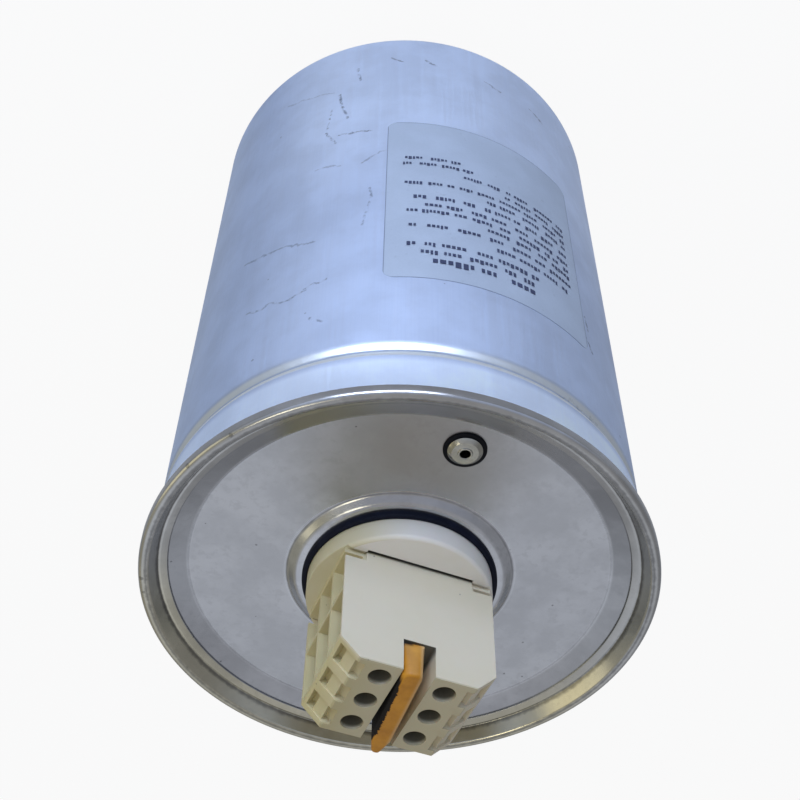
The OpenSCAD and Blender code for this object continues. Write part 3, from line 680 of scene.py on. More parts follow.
class Finishes:
    """Materials of the capacitor, built once. Places are in millimetres, arcs in radians."""

    # Tints that multiply a colour: drawing lines, painted light above the groove and on the lower
    # wall, painted shade on one side, and a painted warm reflection on the seam
    line_tint = (0.985, 0.99, 0.992)
    band_light_tint = (1.38, 1.34, 1.24)
    lower_light_tint = (1.2, 1.18, 1.14)
    side_shade_tint = (0.87, 0.9, 0.95)
    seam_reflection_tints = ((1.0, 0.98, 0.92), (1.06, 0.98, 0.74))

    # Colours of lines, stains and dirt, and of painted highlights, shade and shadows
    lip_highlight_colour = (0.94, 0.97, 0.96)
    dip_highlight_colour = (0.95, 0.97, 0.86)
    scuff_colour = (0.06, 0.07, 0.1)
    front_patch_colour = (0.27, 0.25, 0.225)
    dirt_and_crease_shade_colour = (0.06, 0.06, 0.065)
    speck_colour = (0.16, 0.13, 0.09)
    recess_shade_colour = (0.016, 0.015, 0.008)
    side_highlight_colour = (0.72, 0.5, 0.24)
    end_light_colour = (0.75, 0.5, 0.22)
    end_shade_colour = (0.16, 0.09, 0.06)
    gap_shade_colour = (0.006, 0.004, 0.003)
    edge_shadow_colour = (0.1, 0.12, 0.2)

    # Places of these looks, where a reach or an arc goes from none to full
    band_light_reach = (3.0, 6.0)
    lip_highlight_reaches = ((0.2, 0.9), (3.4, 2.6))
    dip_highlight_reaches = ((-2.6, -1.6), (0.0, -0.6))
    rolled_reach = (3.6, 2.0)
    lower_light_reach = (120.0, 50.0)
    side_arc = (math.radians(-48), math.radians(-18))
    rear_arc = (math.radians(110), math.radians(30))
    seam_reflection_reach = (0.0, 40.0)
    front_patch_middle = (14.0, -46.0)
    front_patch_reach = (42.0, 6.0)
    flat_middle = 45.0
    flat_reach = (13.5, 12.5)
    nick_reach = (30.0, 60.0)
    warm_side_reach = (5.0, 21.0)
    foot_band = (14.0, 16.6)
    bite_reaches = ((-13.0, -8.0), (15.0, 9.0))
    flank_reach = (-14.0, -11.0)

    def __init__(self, settings):
        self.wall_radius = (LID_HIGH.x - settings.lid.overhang) / MM
        self.mottle = mottle_group()
        self.specks = speck_group()
        self.around = round_place_group()
        self.streaks = streak_group()
        self.scratch = scratch_group(self.around, self.wall_radius)
        self.made = {}

    def start(self, name, **values):
        """New material with its shader node and constant values."""
        material = bpy.data.materials.new(name)
        material.use_nodes = True
        principled = material.node_tree.nodes["Principled BSDF"]
        for socket, value in values.items():
            principled.inputs[socket.replace("_", " ")].default_value = value
        self.made[name] = material
        return Shader(material.node_tree), principled.inputs

    def patches(self, shader, scale, low, high):
        """Mask of cloudy patches."""
        return shader.group(self.mottle, scale=scale, low=low, high=high)["Mask"]

    def spots(self, shader, scale, size, share):
        """Mask of sparse specks."""
        return shader.group(self.specks, scale=scale, size=size, share=share)["Mask"]

    def end(self, shader, out, base, rough, height, relief, depth):
        """Colour, roughness and relief of a material."""
        shader.put(out["Base Color"], base)
        shader.put(out["Roughness"], rough)
        shader.put(out["Normal"], shader.bump(height, relief, depth * MM))

    def wall(self, name, can):
        """Drawn aluminium with fine upright lines, clouds, scuffs and a rolled groove, with painted
        light above the groove and on the lower wall, painted highlights on the groove and painted
        shade on one side.
        """
        shader, out = self.start(name, Metallic=1.0)
        groove = (LID_HIGH.z - can.groove_drop) / MM
        lines = shader.group(self.streaks, fineness=1.3, stretch=0.012)["Lines"]
        clouds = self.patches(shader, 0.05, 0.35, 0.68)
        base = shader.mix(clouds, scaled(can.colour, 0.9), can.colour)
        base = shader.tinted(shader.step(lines, 0.35, 0.7), base, self.line_tint)
        marks = shader.times(self.spots(shader, 0.09, 0.04, 0.3), 0.5)
        wobble = shader.times(shader.minus(shader.noise(0.16, 4, 0.6), 0.5), 6.0)
        breaks = shader.step(shader.noise(0.55, 5, 0.7), 0.4, 0.56, 0.15)
        for start_arc, start_height, end_arc, end_height, depth in SCRATCHES:
            mark = shader.group(
                self.scratch,
                start_arc=math.radians(start_arc),
                start_height=start_height,
                end_arc=math.radians(end_arc),
                end_height=end_height,
                width=0.35 + 0.45 * depth,
                wobble=wobble,
            )["Mask"]
            marks = shader.most(marks, shader.times(mark, breaks, depth))
        base = shader.mix(shader.times(marks, 0.7), base, self.scuff_colour)
        _, arc, height = shader.group(self.around)
        above = shader.minus(height, groove)
        # Painted light: a lighter band from just above the groove up to the seam
        base = shader.tinted(shader.step(above, *self.band_light_reach), base, self.band_light_tint)
        # Painted shade: one side of the wall made darker
        aside = shader.band(arc, self.side_arc, self.rear_arc)
        # Painted light: the lower wall made lighter, away from the shaded side
        lower_light = shader.times(shader.step(height, *self.lower_light_reach), shader.minus(1.0, aside))
        base = shader.tinted(lower_light, base, self.lower_light_tint)
        base = shader.tinted(aside, base, self.side_shade_tint)
        # Painted highlight: a pale band just above the groove's middle
        base = shader.mix(shader.band(above, *self.lip_highlight_reaches), base, self.lip_highlight_colour)
        # Painted highlight: a pale yellowish line just below the groove's middle
        dip_highlight = shader.times(shader.band(above, *self.dip_highlight_reaches), 0.45)
        base = shader.mix(dip_highlight, base, self.dip_highlight_colour)
        rolled = shader.step(shader.size(above), *self.rolled_reach, 0.0, 0.22)
        rough = shader.minus(shader.step(lines, 0.3, 0.75, 0.58, 0.66), rolled)
        rough = shader.plus(rough, shader.times(marks, 0.15))
        self.end(shader, out, base, rough, lines, 0.03, 0.02)

    def lid(self, name, lid, collar):
        """Rolled sheet with stains, specks, a darker warm patch at its front, a nicked rim, dirt
        and painted shade in its steps, painted shade on its outer rings and a painted warm
        reflection on its seam.
        """
        colour, rim = lid.colour, self.wall_radius
        disc, ledge = rim - lid.disc_inset / MM, rim - lid.ledge_inset / MM
        shader, out = self.start(name, Metallic=1.0)
        clouds = self.patches(shader, 0.07, 0.34, 0.68)
        base = shader.mix(clouds, scaled(colour, 0.82), colour)
        blotches = shader.times(self.patches(shader, 0.45, 0.5, 0.66), 0.45)
        base = shader.mix(blotches, base, scaled(colour, 0.78))
        radius = shader.group(self.around)["Radius"]
        x, y, _ = shader.split(shader.place())
        # Painted shade: the rings outside the disc made darker in patches, most at the front
        rim_shade = shader.times(
            shader.step(radius, disc, disc + 1),
            shader.step(radius, ledge, ledge + 0.4, 0.75, 0.3),
            shader.step(self.patches(shader, 0.04, 0.4, 0.6), 0.0, 1.0, 0.75, 1.0),
            shader.step(y, -30.0, 30.0, 1.2, 0.65),
        )
        base = shader.mix(rim_shade, base, scaled(colour, 0.5))
        # Painted reflection: a warm tint on the rim outside the ledge, yellowest at the rear
        warm_reflection = shader.mix(shader.step(y, *self.seam_reflection_reach), *self.seam_reflection_tints)
        base = shader.tinted(shader.step(radius, ledge, ledge + 0.4), base, warm_reflection)
        # A darker, warmer patch round a place at the front of the disc
        patch_x, patch_y = self.front_patch_middle
        away = shader.reach(shader.minus(x, patch_x), shader.minus(y, patch_y))
        base = shader.mix(shader.step(away, *self.front_patch_reach, 0.0, 0.7), base, self.front_patch_colour)
        ragged = shader.noise(0.5, 5)
        marks = shader.times(self.spots(shader, 0.2, 0.06, 0.3), 0.7)
        # Darkened ragged rings in the channel, at the ledge step, the disc's edge, the collar's
        # foot and on the seam's top: dirt and painted shade in these creases; specks and nicks are
        # dirt and wear
        for ring, width, share in (
            (rim - lid.chuck_inset / MM, 0.7, 0.8),
            (ledge, 0.3, 0.45),
            (disc, 0.5, 0.35),
            (collar / MM, 0.5, 0.5),
            (rim + 0.9, 0.9, 0.75),
        ):
            away = shader.times(shader.size(shader.minus(radius, ring)), 1 / width)
            marks = shader.most(marks, shader.step(shader.plus(away, ragged), 1.3, 0.5, 0.0, share))
        nicks = shader.times(
            self.spots(shader, 0.42, 0.3, 0.16),
            shader.step(radius, rim, rim + 0.6),
            shader.step(x, *self.nick_reach, 0.0, 0.55),
        )
        marks = shader.times(shader.most(marks, nicks), 0.8)
        base = shader.mix(marks, base, self.dirt_and_crease_shade_colour)
        away = shader.size(shader.minus(radius, self.flat_middle))
        polish = shader.step(away, *self.flat_reach, 0.18, 0.36)
        rough = shader.plus(polish, shader.times(clouds, 0.06))
        self.end(shader, out, base, rough, shader.noise(1.6, 5), 0.07, 0.05)

    def metal(self, name, colour, roughness, relief=0.08, spread=0.14):
        """Bare or plated metal with a fine grain."""
        shader, out = self.start(name, Metallic=1.0)
        base = shader.mix(self.patches(shader, 0.3, 0.35, 0.7), scaled(colour, 0.82), colour)
        fine = shader.noise(3.0)
        rough = shader.spread(fine, roughness, roughness + spread)
        self.end(shader, out, base, rough, fine, relief, 0.03)

    def rubber(self, name, colour):
        """Dull moulded rubber."""
        shader, out = self.start(name, Specular_IOR_Level=0.13)
        pale = [channel * 1.6 + 0.002 for channel in colour]
        base = shader.mix(self.patches(shader, 0.25, 0.4, 0.75), colour, pale)
        fine = shader.noise(4.0)
        self.end(shader, out, base, shader.spread(fine, 0.48, 0.66), fine, 0.15, 0.05)

    def plastic(self, name, terminal, colour):
        """Moulded plastic with painted warm light that turns one side yellower, painted shade on
        its tops, a few specks, and painted shade in its screw wells, foot recess and the resistor's
        slot.
        """
        top, seat, floor = HOUSING_HIGH.z / MM, BASE_HIGH.z / MM, CORE_LOW.z / MM
        face, shade = HOUSING_LOW.y / MM, terminal.shade
        shader, out = self.start(name, Subsurface_Weight=0.06, Subsurface_Scale=0.6 * MM)
        x, y, z = shader.split(shader.place())
        x_size, y_size = shader.size(x), shader.size(y)
        # Painted warm light: the +X side, apart from the front face, turned yellower
        behind = shader.most(shader.step(y, face + 0.3, face + 1.2), shader.below(z, seat - 0.01))
        warm_side_light = shader.times(shader.step(x, *self.warm_side_reach, 0.0, 0.62), behind)
        clouds = shader.times(self.patches(shader, 0.045, 0.35, 0.7), 0.14)
        base = shader.mix(shader.plus(warm_side_light, clouds), colour, shade)
        # Painted shade: the tops made darker and yellower
        top_shade = shader.step(z, top - 0.6, top - 0.2, 0.0, 0.42)
        base = shader.mix(top_shade, base, scaled(shade, 0.6))
        specks = shader.times(self.spots(shader, 0.16, 0.045, 0.35), 0.6)
        base = shader.mix(specks, base, self.speck_colour)
        # Painted shade: the screw wells, the foot recess and the resistor's slot made nearly black
        pitch, radius = terminal.well_pitch / MM, terminal.well_radius / MM
        across = shader.minus(x_size, terminal.well_place / MM)
        away = shader.reach(across, shader.math("WRAP", y, pitch / 2, -pitch / 2))
        well = shader.times(
            shader.step(away, radius + 0.12, radius - 0.05),
            shader.step(z, top - 0.2, top - 1.7),
            shader.over(z, top - 2 * radius),
        )
        foot = shader.times(
            shader.step(z, seat - 0.1, seat - 0.8),
            shader.over(y_size, self.foot_band[0]),
            shader.below(y_size, self.foot_band[1]),
            shader.below(x_size, terminal.recess_half / MM + 0.1),
        )
        above = shader.minus(z, floor)
        slot = shader.times(
            shader.below(x_size, terminal.slot_half / MM + 0.1),
            shader.over(above, -0.05),
            shader.step(above, 3.2, 0.4, 0.0, 0.9),
        )
        recess_shade = shader.times(shader.most(shader.most(well, foot), slot), 0.9)
        base = shader.mix(recess_shade, base, self.recess_shade_colour)
        fine = shader.noise(5.0)
        self.end(shader, out, base, shader.spread(fine, 0.36, 0.5), fine, 0.06, 0.03)

    def ceramic(self, name, terminal):
        """Ochre ceramic with a painted highlight on one side, painted light and painted shade on
        its front, and a painted, ragged shadow of its gap along one flank and at its foot.
        """
        colour = terminal.ceramic
        half, front = terminal.resistor_thickness / MM / 2, terminal.resistor_length / MM / 2
        shader, out = self.start(name, Specular_IOR_Level=0.35)
        move, turn = (-terminal.resistor_aside / MM, 0, 0), (0, 0, -terminal.turn)
        x, y, z = shader.split(shader.place(move, turn))
        burnt = [channel * share for channel, share in zip(colour, (0.72, 0.66, 0.6))]
        base = shader.mix(self.patches(shader, 0.16, 0.3, 0.75), burnt, colour)
        # Painted highlight: the -X side made paler
        pale = shader.step(x, 0.3 - half, 1.5 - half, 0.6, 0.0)
        base = shader.mix(pale, base, self.side_highlight_colour)
        # Painted light: the front end made paler
        end = shader.step(y, 1.6 - front, 0.6 - front)
        base = shader.mix(shader.times(end, 0.45), base, self.end_light_colour)
        # Painted shade: the +X half of the front end made darker
        end_shade = shader.times(end, shader.step(x, 0.0, half, 0.0, 0.75))
        base = shader.mix(end_shade, base, self.end_shade_colour)
        # Painted shadow of the gap beside the +X flank, with a ragged edge along the top, and
        # painted shade at the foot
        teeth = shader.noise(0.5, 8, 0.85, shader.join(0.0, y, 0.0))
        bite = shader.times(teeth, 3.4, shader.band(y, *self.bite_reaches))
        gap_shade = shader.step(shader.plus(x, bite), half + 0.95, half + 1.15)
        flank = shader.step(x, half - 0.4, half - 0.1)
        flank = shader.times(flank, shader.step(y, *self.flank_reach))
        foot = shader.step(shader.minus(z, CORE_LOW.z / MM), 2.6, 1.0)
        foot = shader.times(foot, shader.step(x, -0.2, 1.0))
        gap_shade = shader.most(shader.most(gap_shade, flank), foot)
        base = shader.mix(gap_shade, base, self.gap_shade_colour)
        fine = shader.noise(2.2, 5)
        rough = shader.plus(shader.spread(fine, 0.36, 0.52), shader.times(gap_shade, 0.4))
        self.end(shader, out, base, rough, fine, 0.18, 0.1)

    def plain(self, name, colour, roughness):
        """Inner insulation, film, sleeves and ink."""
        shader, out = self.start(name)
        base = shader.mix(self.patches(shader, 0.12, 0.35, 0.7), scaled(colour, 0.8), colour)
        shader.put(out["Base Color"], base)
        rough = shader.spread(shader.noise(3.0, 3), roughness, roughness + 0.15)
        shader.put(out["Roughness"], rough)

    def foil(self, name, label):
        """Silver label foil, a little rubbed, with a painted shadow along its edge."""
        colour = label.colour
        shader, out = self.start(name, Metallic=0.55)
        base = shader.mix(self.patches(shader, 0.06, 0.35, 0.7), scaled(colour, 0.93), colour)
        rubs = shader.times(self.patches(shader, 0.35, 0.62, 0.72), 0.25)
        base = shader.mix(rubs, base, scaled(colour, 0.6))
        _, arc, height = shader.group(self.around)
        middle = (LABEL_LOW.z + LABEL_HIGH.z) / 2 / MM
        # Painted shadow: a darker line along the label's edge
        aside = shader.times(shader.size(shader.minus(arc, label.angle)), self.wall_radius)
        aside = shader.minus(label.width / 2 / MM, aside)
        above = shader.minus(LABEL_HIGH.z / MM - middle, shader.size(shader.minus(height, middle)))
        edge = shader.step(shader.math("MINIMUM", aside, above), 0.4, 0.2, 0.0, 0.55)
        base = shader.mix(edge, base, self.edge_shadow_colour)
        fine = shader.noise(2.0)
        self.end(shader, out, base, shader.spread(fine, 0.6, 0.7), fine, 0.05, 0.03)


FINISHES = {}


def finish(name):
    """Material of that name, made with all the others when the first one is needed."""
    if not FINISHES:
        FINISHES.update(make_finishes(bpy.context.scene.capacitor))
    return FINISHES[name]


def make_finishes(settings):
    """All materials, from the colours in the settings."""
    made = Finishes(settings)
    terminal, lid = settings.terminal, settings.lid
    collar = terminal.base_radius + terminal.seal_width + lid.collar_width
    made.wall("drawn_aluminium", settings.can)
    made.lid("seamed_aluminium", lid, collar)
    made.metal("rivet_aluminium", settings.plug.colour, 0.18, 0.01, 0.03)
    for name, (colour, roughness) in INNER_METALS.items():
        made.metal(name, colour, roughness)
    made.rubber("seal_rubber", terminal.rubber)
    made.rubber("ring_rubber", settings.plug.ring_colour)
    made.plastic("moulded_plastic", terminal, terminal.plastic)
    made.plastic("base_plastic", terminal, terminal.base_plastic)
    made.ceramic("ochre_ceramic", terminal)
    made.foil("label_foil", settings.label)
    made.plain("label_ink", settings.label.ink, 0.5)
    for name, (colour, roughness) in INNER_INSULATION.items():
        made.plain(name, colour, roughness)
    return made.made


# Outlines shared by the can, the lid and the seal

def lid_lines(settings):
    """Upper and lower face of the lid's sheet, from the collar to the top of the seam."""
    lid, terminal = settings.lid, settings.terminal
    can_radius = LID_HIGH.x - lid.overhang
    top = LID_HIGH.z
    disc = LID_LOW.z + lid.sheet
    collar = terminal.base_radius + terminal.seal_width
    upper = [
        (collar, disc + lid.collar_rise),
        (collar + lid.collar_width, disc),
        (can_radius - lid.disc_inset, disc),
        (can_radius - lid.ledge_inset, top - lid.ledge_drop),
        (can_radius - lid.chuck_inset, top - lid.chuck_drop),
        (can_radius - lid.chuck_top, top),
    ]
    return upper, shifted(upper, lid.sheet)


def collar_edge(lid, upper, lower):
    """Lower inner edge of the collar, where the seal lies."""
    rise = lid.collar_rise / lid.collar_width
    return upper[0][0], lower[1].y + (lower[1].x - upper[0][0]) * rise


def lid_steps(lid, upper):
    """Step, lip and channel between the lid's disc and its steep wall."""
    inner, outer, top = [Vector(point) for point in upper[3:6]]
    along = (outer - inner) / (outer.x - inner.x)
    run = (top - outer).normalized()
    return [
        inner - Vector((0, lid.step)),
        inner + along * lid.step_run,
        outer - along * lid.channel_width,
        outer - run * lid.channel_depth,
    ]


def flange_points(settings):
    """Start, tip, back, root and slope of the can's flange, which lies on the lid's steep wall."""
    can = settings.can
    upper, lower = lid_lines(settings)
    can_radius = LID_HIGH.x - settings.lid.overhang
    run = (Vector(upper[5]) - Vector(upper[4])).normalized()
    slope = run.y / run.x
    inner = can_radius - can.wall
    start = Vector((inner, lower[4].y + (inner - lower[4].x) * slope))
    tip = start + run * can.flange
    back = tip + Vector((run.y, -run.x)) * can.wall
    root = Vector((can_radius, back.y - (back.x - can_radius) * slope))
    return start, tip, back, root, slope


# Operators

class CAPACITOR_OT_can(bpy.types.Operator):
    """Drawn can with its groove and flange"""

    bl_idname = "capacitor.can"
    bl_label = "Can"

    def execute(self, context):
        settings = context.scene.capacitor
        can = settings.can
        radius = LID_HIGH.x - settings.lid.overhang
        start, tip, back, root, _ = flange_points(settings)
        middle = LID_HIGH.z - can.groove_drop
        half = can.groove_width / 2
        groove = [(radius, 0), (radius, middle - half), (radius - can.groove_depth, middle)]
        groove += [(radius, middle + half), tuple(root)]
        inside = shifted(groove, -can.wall)
        rounds = (can.shoulder_round, can.groove_round, can.shoulder_round)
        corners = [(0, 0), (radius, 0, can.edge)]
        corners += rounded(groove[1:4], rounds)
        corners += [tuple(point) for point in (root, back, tip, start)]
        corners += rounded(inside[3:0:-1], rounds)
        corners += [(radius - can.wall, can.floor, can.edge), (0, can.floor)]
        bm = turned(corners, closed=False)
        piece("drawn_can", bm, finish("drawn_aluminium"), "can_aluminium", "can")
        return {"FINISHED"}


class CAPACITOR_OT_stud(bpy.types.Operator):
    """Threaded mounting stud under the can"""

    bl_idname = "capacitor.stud"
    bl_label = "Stud"

    turn_steps = 48
    spare_turns = 2
    flank_shares = (0.12, 0.44, 0.56, 0.88)

    def execute(self, context):
        can = context.scene.capacitor.can
        pitch, tip = can.thread_pitch, CAN_LOW.z
        crest, root = can.stud_radius, can.stud_radius - can.thread_depth
        turns = math.ceil(-tip / pitch) + self.spare_turns
        low = tip - pitch
        radii = (root, root, crest, crest, root, root)
        shares = (0, *self.flank_shares, 1)
        profile = [(out, low + pitch * share) for out, share in zip(radii, shares)]
        bm = outline(profile, closed=False)
        bmesh.ops.spin(
            bm, geom=everything(bm), axis=UP, cent=(0, 0, 0), dvec=(0, 0, pitch / self.turn_steps),
            angle=math.tau * turns, steps=self.turn_steps * turns,
        )
        bmesh.ops.remove_doubles(bm, verts=bm.verts, dist=WELD)
        for height, normal in ((tip, -UP), (0, UP)):
            edges = cut(bm, (0, 0, height), normal, clear=True)["geom_cut"]
            rim = [item for item in edges if isinstance(item, bmesh.types.BMEdge)]
            bmesh.ops.contextual_create(bm, geom=rim)
        for vert in bm.verts:
            limit = crest - can.tip_chamfer + (vert.co.z - tip)
            out = vert.co.xy.length
            if out > limit:
                vert.co.xy *= limit / out
        bmesh.ops.recalc_face_normals(bm, faces=bm.faces)
        piece("stud_thread", bm, finish("drawn_aluminium"), "can_aluminium")
        return {"FINISHED"}


class CAPACITOR_OT_lid(bpy.types.Operator):
    """Stepped lid with its collar, filling hole and rolled seam"""

    bl_idname = "capacitor.lid"
    bl_label = "Lid"

    def execute(self, context):
        settings = context.scene.capacitor
        lid = settings.lid
        upper, lower = lid_lines(settings)
        _, tip, back, root, slope = flange_points(settings)
        seam_low = LID_HIGH.z - lid.seam_height
        mouth = (root.x + (seam_low - root.y) / slope, seam_low)
        face = upper[:3] + lid_steps(lid, upper) + upper[5:]
        face_rounds = (0, lid.collar_round, lid.disc_round, 0)
        face_rounds += (lid.step_round, lid.lip_round, lid.channel_round, lid.seam_inner_round)
        corners = rounded(face, face_rounds)
        crown = (upper[0][0] + lid.crown, upper[0][1] - lid.crown_drop, lid.crown_round)
        corners.insert(1, crown)
        corners += [
            (LID_HIGH.x, LID_HIGH.z, lid.seam_round),
            (LID_HIGH.x, seam_low, lid.seam_lower_round),
        ]
        corners += [mouth, tuple(back), tuple(tip), tuple(lower[4])]
        corners += rounded(lower[3:0:-1], (lid.ledge_round, lid.disc_round, lid.collar_round))
        corners += [collar_edge(lid, upper, lower)]
        bm = turned(corners)
        obj = piece("seamed_lid", bm, finish("seamed_aluminium"), "lid_aluminium", "lid")
        middle = (PLUG_LOW + PLUG_HIGH) / 2
        shank = settings.plug.shank
        low, high = LID_LOW.z - lid.sheet, LID_LOW.z + 2 * lid.sheet
        corners = [(0, low), (shank, low), (shank, high), (0, high)]
        drill = turned(corners, closed=False, steps=PLUG_STEPS)
        place(drill, middle.x, middle.y)
        cut_out(obj, drill)
        return {"FINISHED"}


class CAPACITOR_OT_seal(bpy.types.Operator):
    """Rubber ring between the collar and the terminal base"""

    bl_idname = "capacitor.seal"
    bl_label = "Seal"

    outer_share = 0.6
    inner_share = 0.3

    def execute(self, context):
        settings = context.scene.capacitor
        upper, lower = lid_lines(settings)
        inner, width = settings.terminal.base_radius, settings.terminal.seal_width
        outer, under = collar_edge(settings.lid, upper, lower)
        corners = [
            (inner, SEAL_LOW.z),
            (lower[1].x, SEAL_LOW.z),
            (outer, under),
            (outer, SEAL_HIGH.z, width * self.outer_share),
            (inner, SEAL_HIGH.z, width * self.inner_share),
        ]
        piece("rubber_seal", turned(corners), finish("seal_rubber"), "seal_rubber", "terminal_seal")
        return {"FINISHED"}


class CAPACITOR_OT_plug(bpy.types.Operator):
    """Blind rivet and rubber ring that close the filling hole"""

    bl_idname = "capacitor.plug"
    bl_label = "Filling plug"

    def execute(self, context):
        plug = context.scene.capacitor.plug
        middle = (PLUG_LOW + PLUG_HIGH) / 2
        head = (PLUG_HIGH.x - PLUG_LOW.x) / 2
        ring = (RING_HIGH.x - RING_LOW.x) / 2
        seat, top = RING_HIGH.z, PLUG_HIGH.z
        corners = [
            (0, PLUG_LOW.z + plug.end),
            (plug.hole, PLUG_LOW.z + plug.end),
            (plug.hole, top, plug.boss_round),
            (plug.boss, top, plug.boss_round),
            (plug.boss, top - plug.boss_height, plug.boss_round),
            (plug.table, top - plug.boss_height, plug.table_round),
            (head, seat + plug.rim, plug.rim_round),
            (head, seat, plug.rim_lower_round),
            (plug.shank, seat),
            (plug.shank, PLUG_LOW.z, plug.shank_round),
            (0, PLUG_LOW.z),
        ]
        bm = turned(corners, closed=False, steps=PLUG_STEPS)
        place(bm, middle.x, middle.y)
        piece("plug_rivet", bm, finish("rivet_aluminium"), "plug_aluminium", "filling_plug")
        corners = [
            (plug.shank, RING_LOW.z),
            (ring, RING_LOW.z),
            (ring, seat, plug.ring_round),
            (plug.shank, seat),
        ]
        bm = turned(corners, steps=PLUG_STEPS)
        place(bm, middle.x, middle.y)
        piece("plug_ring", bm, finish("ring_rubber"), "ring_rubber", "plug_seal")
        return {"FINISHED"}


class CAPACITOR_OT_mouldings(bpy.types.Operator):
    """Moulded base and ribbed housing of the terminals, with soft edges"""

    bl_idname = "capacitor.mouldings"
    bl_label = "Terminal mouldings"

    def execute(self, context):
        for name, node, plastic in (
            ("moulded_base", "terminal_base", "base_plastic"),
            ("ribbed_housing", "terminal_housing", "moulded_plastic"),
        ):
            obj = piece(name, welded_copy(node), finish(plastic), "cream_plastic", node)
            soften(obj, context.scene.capacitor.terminal.soft_edge)
        return {"FINISHED"}


class CAPACITOR_OT_resistor(bpy.types.Operator):
    """Ceramic discharge resistor, turned in its slot"""

    bl_idname = "capacitor.resistor"
    bl_label = "Discharge resistor"

    top_steps = 5
    top_slope = 0.9

    def execute(self, context):
        terminal = context.scene.capacitor.terminal
        height = CORE_HIGH.z - CORE_LOW.z
        thick, end = terminal.resistor_thickness, terminal.resistor_length / 2
        bm = bmesh.new()
        bmesh.ops.create_cube(bm, size=1)
        bmesh.ops.scale(bm, vec=(thick, 2 * end, height), verts=bm.verts)
        cut(bm, (0, end - terminal.taper, 0), (0, 1, 0))
        for vert in bm.verts:
            if vert.co.y > end - WELD:
                vert.co.x *= terminal.tip / thick
        heel = [
            edge for edge in bm.edges
            if all(vert.co.y < WELD - end and vert.co.z < 0 for vert in edge.verts)
        ]
        bevel(bm, heel, terminal.heel_round)
        for front, rounding in ((True, terminal.front_round), (False, terminal.rear_round)):
            upright = [
                edge for edge in bm.edges
                if abs(edge.verts[0].co.z - edge.verts[1].co.z) > height / 2
                and (edge.verts[0].co.y < 0 if front else edge.verts[0].co.y > end - WELD)
            ]
            bevel(bm, upright, rounding)
        bm.normal_update()
        tops = [face for face in bm.faces if face.normal.z > self.top_slope]
        rim = [
            edge for face in tops for edge in face.edges
            if any(other not in tops for other in edge.link_faces)
        ]
        bevel(bm, rim, terminal.top_round, self.top_steps)
        turn = Matrix.Rotation(terminal.turn, 3, "Z")
        bmesh.ops.rotate(bm, verts=bm.verts, cent=(0, 0, 0), matrix=turn)
        place(bm, terminal.resistor_aside, terminal.resistor_shift, CORE_LOW.z + height / 2)
        ceramic = finish("ochre_ceramic")
        piece("ceramic_resistor", bm, ceramic, "ochre_ceramic", "discharge_resistor")
        return {"FINISHED"}


class CAPACITOR_OT_label(bpy.types.Operator):
    """Foil label bent round the can, with rows of plain bars"""

    bl_idname = "capacitor.label"
    bl_label = "Rating label"

    strips = 48
    corner_steps = 8

    # How many bars stand together, then widths, heights and gaps as shares of the row's height
    bars_together = (2, 7)
    bar_width = 0.62
    bar_widths = (0.55, 1.0)
    bar_heights = (0.7, 0.7, 1.0)
    bar_gap = 0.22
    wide_gaps = (0.5, 1.6)

    def execute(self, context):
        settings = context.scene.capacitor
        label = settings.label
        inner = LID_HIGH.x - settings.lid.overhang + label.glue
        height = LABEL_HIGH.z - LABEL_LOW.z
        bm = bmesh.new()
        self.bar(bm, label.width, height)
        bevel(bm, bm.verts[:], label.corner, self.corner_steps, "VERTICES")
        for i in range(1, self.strips):
            cut(bm, ((i / self.strips - 0.5) * label.width, 0, 0), (1, 0, 0))
        self.wrap(bm, label, inner, label.thickness)
        piece("foil_label", bm, finish("label_foil"), "label_foil", "rating_label")
        bm = self.bars(label, height)
        self.wrap(bm, label, inner + label.thickness, label.ink_film / 2)
        piece("label_bars", bm, finish("label_ink"), "label_foil")
        return {"FINISHED"}

    def bar(self, bm, wide, high):
        """Flat bar in the middle, and its corners."""
        verts = bmesh.ops.create_grid(bm, x_segments=1, y_segments=1, size=0.5)["verts"]
        bmesh.ops.scale(bm, vec=(wide, high, 1), verts=verts)
        return verts

    def wrap(self, bm, label, radius, thickness):
        """Bends a flat sheet in the XY plane round the can's wall and gives it its thickness."""
        middle = (LABEL_LOW.z + LABEL_HIGH.z) / 2
        for vert in bm.verts:
            arc = label.angle + vert.co.x / radius
            out = radius + vert.co.z
            vert.co = (out * math.cos(arc), out * math.sin(arc), middle + vert.co.y)
        bm.normal_update()
        bmesh.ops.solidify(bm, geom=bm.faces[:], thickness=thickness)
        bmesh.ops.recalc_face_normals(bm, faces=bm.faces)

    def bars(self, label, height):
        """Rows of short bars, still flat."""
        draw = random.Random(label.seed)
        bm = bmesh.new()
        for share, tall, left, right in BAR_ROWS:
            x = left * MM
            while x < right * MM:
                for _ in range(draw.randint(*self.bars_together)):
                    wide = draw.uniform(*self.bar_widths) * tall * MM * self.bar_width
                    high = tall * MM * draw.choice(self.bar_heights)
                    if x + wide > right * MM:
                        break
                    verts = self.bar(bm, wide, high)
                    low = share * height + (high - tall * MM) / 2
                    bmesh.ops.translate(bm, verts=verts, vec=(x + wide / 2, low, label.ink_film))
                    x += wide + self.bar_gap * tall * MM
                x += draw.uniform(*self.wide_gaps) * tall * MM
        return bm


class CAPACITOR_OT_inner(bpy.types.Operator):
    """Finishes of the clamps, contacts, windings and leads, which keep their solids"""

    bl_idname = "capacitor.inner"
    bl_label = "Inner pieces"

    def execute(self, context):
        for name, nodes in INNER_FINISHES.items():
            for node in nodes:
                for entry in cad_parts[node].material_slots:
                    entry.material = finish(name)
        return {"FINISHED"}


